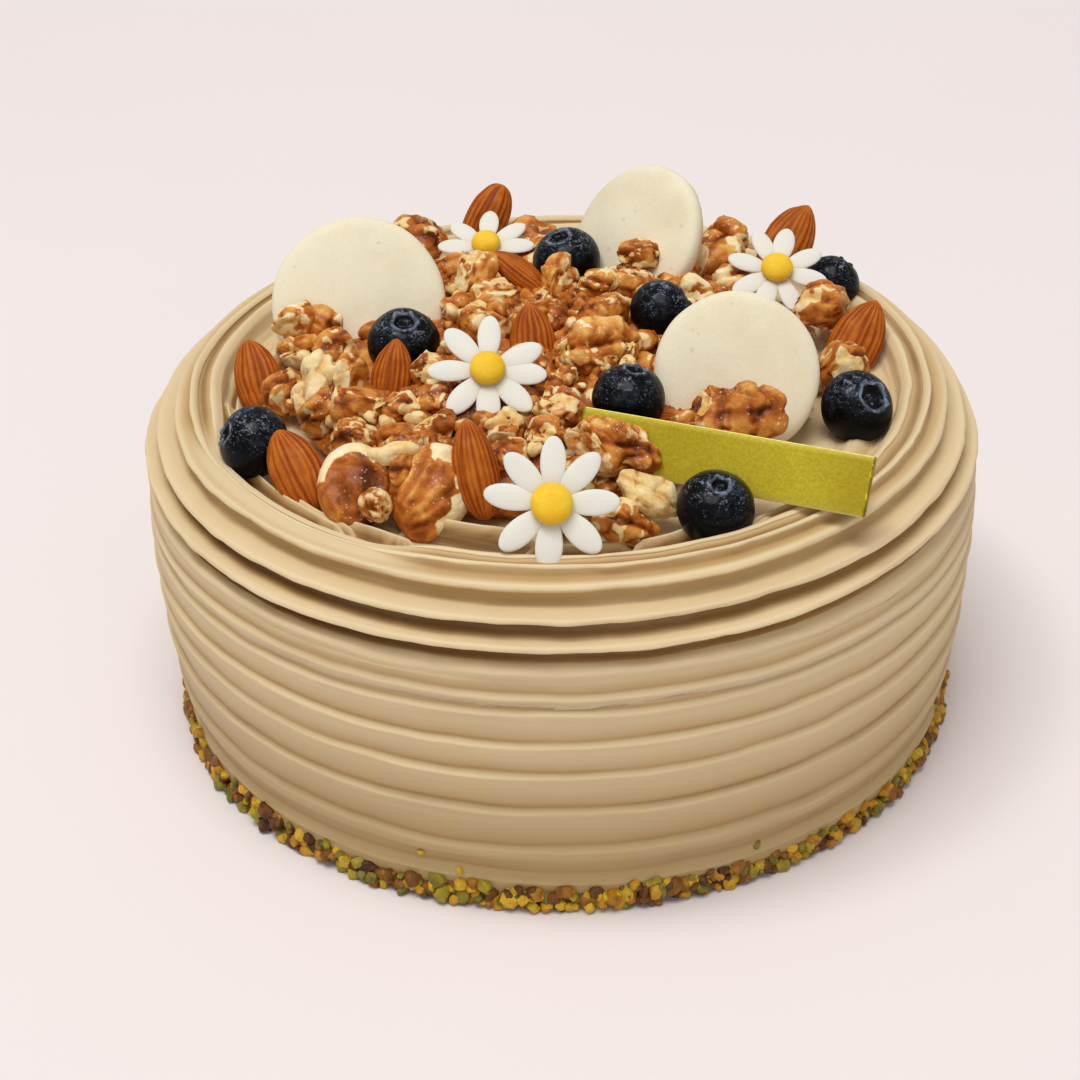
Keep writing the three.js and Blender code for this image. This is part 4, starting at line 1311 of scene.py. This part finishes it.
def daisy_petals(spot, number):
    """The ring of petals on its disc."""
    random = np.random.default_rng(40 + number)
    reach = spot["across"] / 2
    shells = []
    for leaf in range(PETALS):
        turn = TURN * leaf / PETALS + math.radians(spot["strays"][leaf])
        length = reach * random.uniform(0.965, 1.0)
        width = reach * PETAL_SLIMNESS * random.uniform(0.95, 1.05)
        shells.append(petal(turn, length, width, random.uniform(-0.1, 0.35)))
    outline = np.array(DISC)
    disc = rings(outline[:, :1], outline[:, 1:], turns_round(48))
    # the disc under the heart takes the painted warm shade in full
    shells.append(ring_skin(disc, {"inner": np.ones(disc.shape[:2])}))
    return joined(shells).set_down(spot)


def daisy_heart(spot, number):
    """The domed, slightly bumpy heart."""
    outline = [(0.5, 0.0), (0.9, 0.0), (0.985, 0.05), (1.0, 0.13)]
    outline += [(np.cos(a) ** 0.9, 0.16 + 0.62 * np.sin(a)) for a in np.linspace(0, 1, 16)[1:] * 1.5]
    outline = np.array(outline) * spot["heart"] / 2
    base = PETAL_THICKNESS / 2 + HEART_LIFT
    dome = rings(outline[:, :1], base + outline[:, 1:], turns_round(56))
    on_top = smooth_step(base + 0.4, base + 1.2, dome[..., 2])
    dome[..., 2] += 0.05 * noise(dome / 0.8 + 7 * number, 18) * on_top
    return ring_skin(dome).set_down(spot)


for number, spot in enumerate(DAISIES):
    name = spot["name"]
    piece(f"{name}_petal_ring", daisy_petals(spot, number), PETAL, [f"{name}_petals"])
    piece(f"{name}_sugar_heart", daisy_heart(spot, number), HEART, [f"{name}_heart"])


# ---------------------------------------------------------------- the gold strip
STRIP_CORNER = 0.16
STRIP_BOW = 0.12
STRIP_RINGS = 90
END_WIDTH, END_THICKNESS = 0.97, 0.5


def strip_section(half_w, half_t):
    """Once round the strip's section: four rounded corners, and points along both broad sides."""
    inner_w, inner_t = half_w - STRIP_CORNER, half_t - STRIP_CORNER
    section = []
    for sign_w, sign_t in ((1, 1), (-1, 1), (-1, -1), (1, -1)):
        for turn in np.linspace(0, math.pi / 2, 4):
            out, up = math.cos(turn), math.sin(turn)
            if sign_w != sign_t:
                out, up = up, out
            section.append(((inner_w + STRIP_CORNER * out) * sign_w, (inner_t + STRIP_CORNER * up) * sign_t))
        if sign_w == sign_t:
            start = section[-1][0]
            span = start + inner_w * sign_w
            section += [(start - span * share, half_t * sign_t) for share in np.linspace(0.1, 0.9, 9)]
    return np.array(section)


def gold_strip():
    """A thin bowed strip with rounded edges and slightly eased ends."""
    length, width, thickness = GOLD_STRIP["size"]
    half_w = width / 2
    eased_ends = np.array([-0.4988, -0.4995])
    along = np.linspace(-0.5, 0.5, STRIP_RINGS)
    along = np.concatenate([eased_ends, along, -eased_ends[::-1]])[:, None]
    section = strip_section(half_w, thickness / 2)
    narrower, thinner = np.ones_like(along), np.ones_like(along)
    narrower[[0, -1]] = END_WIDTH
    thinner[[0, -1]] = END_THICKNESS
    across = section[:, 0] * narrower
    deep = section[:, 1] * thinner + STRIP_BOW * np.sin(np.pi * (along + 0.5)) - 0.05
    corners = np.stack([along * length + 0 * across, across, deep], axis=-1)
    # the edge mark, where a highlight is painted along both long edges
    edge = smooth_step(half_w - 0.2, half_w - 0.05, np.abs(across))
    share = along + 0.5 + 0 * across
    return ring_skin(corners, {"along": share, "edge": edge}).set_down(GOLD_STRIP)


piece("gold_foil_strip", gold_strip(), GOLD, ["gold_strip"])


# ---------------------------------------------------------------- walnuts
def kept_inside(nut, half):
    """No corner may lie outside the size of its piece."""
    return np.clip(nut, -half * 1.02, half * 1.02)


def walnut(
    spot,
    seed,
    detail,
    fold=3.0,
    depth=1.0,
    breaks=2,
    pale=0.0,
    rims=1.0,
    cleft=0.2,
    tone=0.0,
    bare=(),
):
    """A candied walnut or a broken piece of one.

    Rounded ridges with narrow valleys wind over a lumpy body with a cleft along it. Breaks are
    flattened, and every other one shows the flesh, as do the rims of some ridges and the places
    named in bare (middle and radii in millimetres). The marks say how high a ridge a corner is on
    and how bare the flesh is. Tone makes the skin lighter or darker."""
    corners, tris = BALLS[detail]
    random = np.random.default_rng(seed)
    shift = random.uniform(-40, 40, 3)
    half = np.array(spot["size"], float) / 2
    base = corners * half
    outward = corners / half
    outward /= np.linalg.norm(outward, axis=1)[:, None]
    grain = random.uniform(0, math.pi)

    def rough(size, own, points=base):
        """Noise of one size over the nut, with a seed of its own."""
        return noise(points / size + shift, seed + own)

    # ridges run across the grain, over a lumpy body
    run = np.array([math.cos(grain), math.sin(grain), 0.0])
    squeezed = base - 0.42 * (base @ run)[:, None] * run
    bent = drift(squeezed / fold + shift, 0.6, 1.1, seed + 3)
    hills = np.clip(np.abs(noise(bent, seed)) * 2.3, 0, 1) ** 0.6
    small = np.abs(rough(1.3, 5))
    lumpy = rough(0.75 * half.mean(), 2)
    line = base[:, 1] + 0.25 * half[1] * rough(half.mean(), 1)
    cleave = np.exp(-((line / (0.15 * half[1])) ** 2)) * smooth_step(-0.6, 0.3, corners[:, 2])
    lift = depth * (1.3 * hills - 0.85) + 0.3 * small + 0.26 * half.mean() * lumpy
    lift = lift - cleft * half[2] * cleave
    nut = base * 0.92 + outward * lift[:, None]

    # flesh on the rims of ridges and in a few patches
    rim = smooth_step(0.2, 0.08, np.abs(rough(4.2, 6))) * smooth_step(0.3, 0.6, hills)
    flesh = rim * smooth_step(-0.35, 0.15, rough(4.0, 7))
    patch = smooth_step(0.42, 0.55, rough(4.0, 9)) * smooth_step(0.1, 0.4, hills)
    flesh = np.maximum(flesh, patch) * rims + pale * (0.35 + 0.65 * hills)

    # breaks: what stands beyond a plane is pressed back to it
    for number in range(breaks):
        normal = random.normal(size=3)
        normal[2] = abs(normal[2]) * 0.7
        normal /= np.linalg.norm(normal)
        reach = np.abs(normal * half).max() * random.uniform(0.68, 0.86)
        over = nut @ normal - reach + 0.5 * rough(1.6, 18 + number, nut)
        cut = over > 0
        nut[cut] -= normal * (over[cut] * 0.85)[:, None]
        if number % 2 == 0:
            torn = 0.4 + 0.6 * smooth_step(-0.1, 0.3, rough(3.0, 21, nut[cut]))
            flesh[cut] = np.maximum(flesh[cut], torn * smooth_step(0.0, 0.3, over[cut]))

    ragged = 0.35 * rough(1.7, 11)
    for x, y, wide, tall in bare:
        away = np.hypot((base[:, 0] - x) / wide, (base[:, 1] - y) / tall) + ragged
        flesh = np.maximum(flesh, smooth_step(1.1, 0.85, away) * smooth_step(-0.5, 0.0, corners[:, 2]))
    # the fold mark is low in valleys and the cleft, where the skin is painted darker, partly as shade
    height = 0.16 + 0.5 * hills - 0.4 * cleave + 0.16 * lumpy
    height = np.maximum(height, 0.42 * min(pale, 1.0)) + tone
    marks = {"flesh": np.clip(flesh, 0, 1), "fold": np.clip(height, 0, 1)}
    nut = kept_inside(nut, half)
    return Shell(give_way(placed(nut, spot)), tris=tris, marks=marks).outwards()


FAN_FOOT = (-0.75, -1.0)
FLUTES = 19


def walnut_lobe(spot, seed, dish, fan, rim_from, rim_to, bare=()):
    """One lobe of an opened walnut, seen from its inside.

    The side that faces its own Z is dished (how deep, in millimetres) or fluted like a fan (how
    deep the flutes are). The edge is bare flesh between two turns, given in degrees."""
    corners, tris = BALLS[5]
    half = np.array(spot["size"], float) / 2
    base = corners * half
    x, y, z = corners.T
    shift = np.array([1.0, 2.0, 3.0]) * seed
    reach = np.hypot(x, y)
    turn = np.arctan2(y, x)
    facing = smooth_step(-0.1, 0.45, z)
    slow = noise(base / 5.0 + shift, seed)
    fine = noise(base / 1.6 + shift, seed + 1)

    # the fan's flutes spread from a foot outside the lobe; the dish is sunk in its middle
    fan_x, fan_y = x - FAN_FOOT[0], y - FAN_FOOT[1]
    spoke = np.arctan2(fan_y, fan_x) + 0.05 * slow + 0.03 * fine
    flutes = np.sin(FLUTES * spoke + 1.2 * slow) * smooth_step(0.25, 0.9, np.hypot(fan_y, fan_x))
    sunk = dish * smooth_step(0.86, 0.4, reach + 0.12 * slow) * facing
    wavy = 1 + 0.05 * noise(rings(2.4, seed, turn), seed + 2)
    nut = base * 0.95
    nut[:, :2] *= (wavy + 0.02 * flutes * (fan > 0))[:, None]
    nut[:, 2] += fan * flutes * facing - sunk + 0.35 * slow + 0.16 * fine

    # bare flesh along the edge and in the places named in bare
    degrees = np.degrees(turn) % 360
    inside = smooth_step(rim_from - 8, rim_from + 8, degrees) * smooth_step(rim_to + 8, rim_to - 8, degrees)
    edge = smooth_step(0.66, 0.74, reach + 0.08 * slow + 0.03 * fine) * smooth_step(-0.45, -0.2, z)
    flesh = inside * edge
    for place_x, place_y, wide, tall in bare:
        away = np.hypot((base[:, 0] - place_x) / wide, (base[:, 1] - place_y) / tall)
        flesh = np.maximum(flesh, smooth_step(1.15, 0.85, away + 0.3 * fine) * facing)

    # the skin is darker in a band down the dish
    # the dish's sunk middle and the flutes' grooves are painted a little darker, partly as shade
    shade = 0.48 + 0.24 * slow + 0.12 * fine + (0.14 * flutes if fan > 0 else -0.05 * sunk)
    shade = shade - 0.34 * np.exp(-(((x - 0.35) / 0.32) ** 2)) * (fan == 0)
    shade = np.maximum(shade, 0.85 * flesh)
    marks = {"flesh": np.clip(flesh, 0, 1), "fold": np.clip(shade, 0, 1)}
    nut = kept_inside(nut, half)
    return Shell(give_way(placed(nut, spot)), tris=tris, marks=marks).outwards()


def part_spot(spot, shift, size, spin=0.0):
    """A place inside a larger piece, given in that piece's own frame."""
    at = placed(np.array([shift], float), spot)[0]
    return {**spot, "at": tuple(at), "spin": spot["spin"] + spin, "size": size}


def butterfly_walnut(spot):
    """The big half seen from its inside: two lobes, a rough nub and a nut between, a cream rim."""
    left = part_spot(spot, (-8.7, 0.6, -0.4), (18.4, 21, 13))
    right = part_spot(spot, (8.0, -0.8, -0.6), (19, 24, 14), -12)
    nub = part_spot(spot, (-3.5, -4.9, 3.7), (7.4, 8.4, 7))
    nut = part_spot(spot, (2.6, 3.2, 3.6), (7.2, 8.6, 7))
    rim = part_spot(spot, (0.4, 7.0, 3.4), (12, 4.8, 6), 8)
    right_bare = [
        (3.6, 9.4, 5.6, 3.4),
        (8.2, 3.4, 2.0, 2.8),
        (7.8, -1.6, 1.6, 1.8),
        (6.4, -6.6, 1.2, 1.0),
    ]
    whole = dict(detail=4, breaks=0, cleft=0.0)
    return joined(
        [
            walnut_lobe(left, 301, 2.0, 0.0, 40, 178),
            walnut_lobe(right, 317, 0.0, 0.36, 300, 359, right_bare),
            walnut(nub, 323, fold=1.6, depth=0.5, rims=0.3, pale=0.5, tone=-0.06, **whole),
            walnut(nut, 331, fold=2.6, depth=0.5, rims=0.0, **whole),
            walnut(rim, 341, fold=6.0, depth=0.2, rims=0.0, pale=1.7, **whole),
        ]
    )


WHOLE = dict(detail=5, breaks=0)
WALNUT_STYLE = {
    "walnut_middle": dict(fold=3.0, depth=1.5, cleft=0.3, tone=0.2, **WHOLE),
    "walnut_right": dict(fold=3.0, depth=1.3, rims=0.3, bare=[(-9.0, 1.5, 1.8, 3.0)], **WHOLE),
    "walnut_front_ridge": dict(detail=5, fold=3.4, depth=1.1, breaks=1, rims=0.55),
    "walnut_front_pale": dict(fold=6.0, depth=0.6, rims=0.0, pale=1.3, **WHOLE),
    "walnut_front_low": dict(fold=5.0, depth=0.7, bare=[(-5.5, 1.5, 3.0, 3.0)], **WHOLE),
    "walnut_left_pale": dict(fold=3.8, depth=0.9, rims=0.2, pale=1.0, **WHOLE),
}
PLAIN_STYLE = dict(detail=4)
for number, spot in enumerate(LARGE_WALNUTS):
    if spot["name"] == "walnut_front_left":
        shell = butterfly_walnut(spot)
    else:
        shell = walnut(spot, 400 + 17 * number, **WALNUT_STYLE.get(spot["name"], PLAIN_STYLE))
    piece(f"{spot['name']}_nut", shell, WALNUT, [spot["name"]])


# the heap's middle rises from just above the floor, with a bay in its outline at the right front
CORE_BASE = FLOOR_HEIGHT + 0.4
CORE_RISE = CORE_TOP - CORE_BASE
BAY_FACING = math.radians(-38)
BAY_DEPTH = 0.22


def bay(angle):
    """How much nearer the heap's outline is where it gives way to the strip at the right."""
    return 1 - BAY_DEPTH * np.maximum(0, np.cos(angle - BAY_FACING)) ** 2


def heap_core():
    """The crumbly middle of the heap, from the same outline as its solid."""
    outline = np.array(
        [
            (30.0, CORE_BASE),
            (CORE_RADIUS - 3, CORE_BASE),
            (CORE_RADIUS, CORE_BASE + CORE_RISE * 0.25),
            (CORE_RADIUS * 0.84, CORE_BASE + CORE_RISE * 0.68),
            (CORE_RADIUS * 0.45, CORE_BASE + CORE_RISE * 0.95),
            (2.0, CORE_TOP),
        ]
    )
    rows = []
    for low, high in zip(outline[:-1], outline[1:]):
        count = max(2, int(np.hypot(*(high - low)) / 1.5))
        rows += [low + (high - low) * k / count for k in range(count)]
    rows = np.array(rows + [outline[-1]])
    angle = turns_round(250)
    corners = rings(rows[:, :1] * bay(angle), rows[:, 1:], angle)
    lumps = np.abs(noise(drift(corners / 4.2, 0.5, 1.2, 21), 22))
    shown = smooth_step(CORE_BASE, CORE_BASE + 3, corners[..., 2])
    corners[..., 2] += shown * (2.6 * np.sqrt(lumps) - 1.6 + 0.5 * noise(corners / 1.6, 23))
    # the fold mark is low between lumps, where the skin is painted darker, partly as shade
    fold = np.clip(0.16 + 0.55 * np.sqrt(lumps), 0, 1)
    flesh = 0.9 * smooth_step(0.2, 0.5, noise(corners / 3.4, 24)) * smooth_step(0.2, 0.5, lumps)
    core = ring_skin(corners, {"fold": fold, "flesh": flesh})
    core.corners = give_way(core.corners)
    return core


def core_height(x, y):
    """The height of the heap's middle under a point."""
    radius = math.hypot(x, y) / bay(math.atan2(y, x))
    shares = (0, 0.45, 0.84, 1.0, 1.12)
    return CORE_BASE + CORE_RISE * np.interp(radius / CORE_RADIUS, shares, (1.0, 0.95, 0.68, 0.25, 0.0))


CHIP_SEED = 5
CHIP_COUNT = 430
CHIPS_REACH = 66
CHIP_STYLE = dict(detail=2, fold=2.4, depth=0.5, breaks=1, rims=0.8, cleft=0.0)


def chips():
    """Small broken bits of walnut that fill the heap between the larger pieces."""
    random = np.random.default_rng(CHIP_SEED)
    keep_off = [(spot["at"], spot["across"] / 2 + 1.5) for spot in BLUEBERRIES]
    keep_off += [(spot["at"], spot["size"][0] / 2) for spot in ALMONDS]
    made = []
    while len(made) < CHIP_COUNT:
        radius = CHIPS_REACH * math.sqrt(random.random())
        turn = random.uniform(0, TURN)
        x, y = radius * math.cos(turn), radius * math.sin(turn)
        size = random.uniform(3.6, 8.2)
        at = (x, y, core_height(x, y) + size * random.uniform(0.1, 0.35))
        taken = any(math.dist(at, other) < reach + size / 3 for other, reach in keep_off)
        if taken or at[2] < FLOOR_HEIGHT + 3:
            continue
        spot = {
            "at": at,
            "size": (size, size * random.uniform(0.6, 0.85), size * random.uniform(0.5, 0.75)),
            "facing": random.uniform(-180, 180),
            "tilt": random.uniform(0, 50),
            "spin": random.uniform(0, 360),
        }
        pale = 0.7 if random.random() < 0.2 else 0.0
        made.append(walnut(spot, 900 + len(made), pale=pale, **CHIP_STYLE))
    return made


FRONT_OF_HEAP = -15
heap = []
for number, (at, tilt, spin, size) in enumerate(HEAP_WALNUTS):
    spot = {"at": at, "facing": HEAP_FACING, "tilt": tilt, "spin": spin, "size": size}
    tone, rims = (0.08, 0.75) if at[1] > FRONT_OF_HEAP else (-0.04, 1.0)
    heap.append(walnut(spot, 600 + 13 * number, 4, cleft=0.25 * (number % 2), tone=tone, rims=rims))
halfway = len(heap) // 2
piece("walnut_heap_middle", heap_core(), WALNUT, ["walnut_heap"])
piece("walnut_heap_nuts_1", joined(heap[:halfway]), WALNUT)
piece("walnut_heap_nuts_2", joined(heap[halfway:]), WALNUT)
piece("walnut_chips", joined(chips()), WALNUT)


# ---------------------------------------------------------------- floor, light and camera
FLOOR_HALF = 2.0
# the photograph's camera, fitted to the outline of the rim and the foot
CAMERA_RISE = math.radians(32.0)
CAMERA_ROLL = math.radians(-1.2)
CAMERA_AIM = Vector((-5.7, 0.0, 39.5)) * MM
CAMERA_DISTANCE = 0.65
SENSOR_WIDTH = 36.0
LENS = 86.06


def stage_floor():
    """A plain pale floor."""
    mesh = bpy.data.meshes.new("stage_floor")
    square = [(x * FLOOR_HALF, y * FLOOR_HALF, 0) for x, y in ((-1, -1), (1, -1), (1, 1), (-1, 1))]
    mesh.from_pydata(square, [], [(0, 1, 2, 3)])
    material, n, out = new_material("stage_paper", {"Roughness": 0.9, "Specular IOR Level": 0.1})
    tint = n.mix(n.cloud(n.place(), 6.0, 2.0), srgb(239, 231, 229), srgb(236, 227, 226))
    n.put(out["Base Color"], tint)
    mesh.materials.append(material)
    made = linked("stage_floor", mesh)


def aimed(name, lamp, place, aim):
    """A lamp at its place, turned towards what it lights."""
    made = linked(name, lamp)
    made.location = place
    made.rotation_euler = (Vector(aim) - Vector(place)).to_track_quat("-Z", "Y").to_euler()


def sun_light(name, place, angle, strength):
    lamp = bpy.data.lights.new(name, "SUN")
    lamp.angle = math.radians(angle)
    lamp.energy = strength
    aimed(name, lamp, place, (0, 0, 0))


def area_light(name, place, aim, size, power):
    lamp = bpy.data.lights.new(name, "AREA")
    lamp.shape = "RECTANGLE"
    lamp.size, lamp.size_y = size
    lamp.energy = power
    aimed(name, lamp, place, aim)


def world_light():
    world = bpy.data.worlds.new("soft_room")
    world.use_nodes = True
    back = world.node_tree.nodes["Background"]
    back.inputs["Color"].default_value = (1.0, 0.985, 0.97, 1)
    back.inputs["Strength"].default_value = 0.42
    bpy.context.scene.world = world


def photo_camera():
    """Stands in front of the cake, 32 degrees up, with a slight roll to the left."""
    back = Vector((0.0, -math.cos(CAMERA_RISE), math.sin(CAMERA_RISE)))
    right = Vector((1.0, 0.0, 0.0))
    up = back.cross(right)
    turned_right = right * math.cos(CAMERA_ROLL) + up * math.sin(CAMERA_ROLL)
    turned_up = up * math.cos(CAMERA_ROLL) - right * math.sin(CAMERA_ROLL)
    lens = bpy.data.cameras.new("photo_camera")
    lens.sensor_width = SENSOR_WIDTH
    lens.lens = LENS
    lens.clip_start = 0.01
    made = linked("photo_camera", lens)
    turn = Matrix((turned_right, turned_up, back)).transposed().to_4x4()
    made.matrix_world = Matrix.Translation(CAMERA_AIM + back * CAMERA_DISTANCE) @ turn
    bpy.context.scene.camera = made


stage_floor()
world_light()
sun_light("key_light", (-0.1, -0.2, 1.0), 36, 1.65)
area_light("top_softbox", (-0.25, -0.1, 0.9), (0, 0, 0.08), (0.16, 0.16), 1.1)
area_light("front_softbox", (0.2, -1.1, 0.6), (0, 0, 0.05), (0.5, 0.4), 0.6)
photo_camera()
bpy.context.scene.view_settings.view_transform = "Standard"
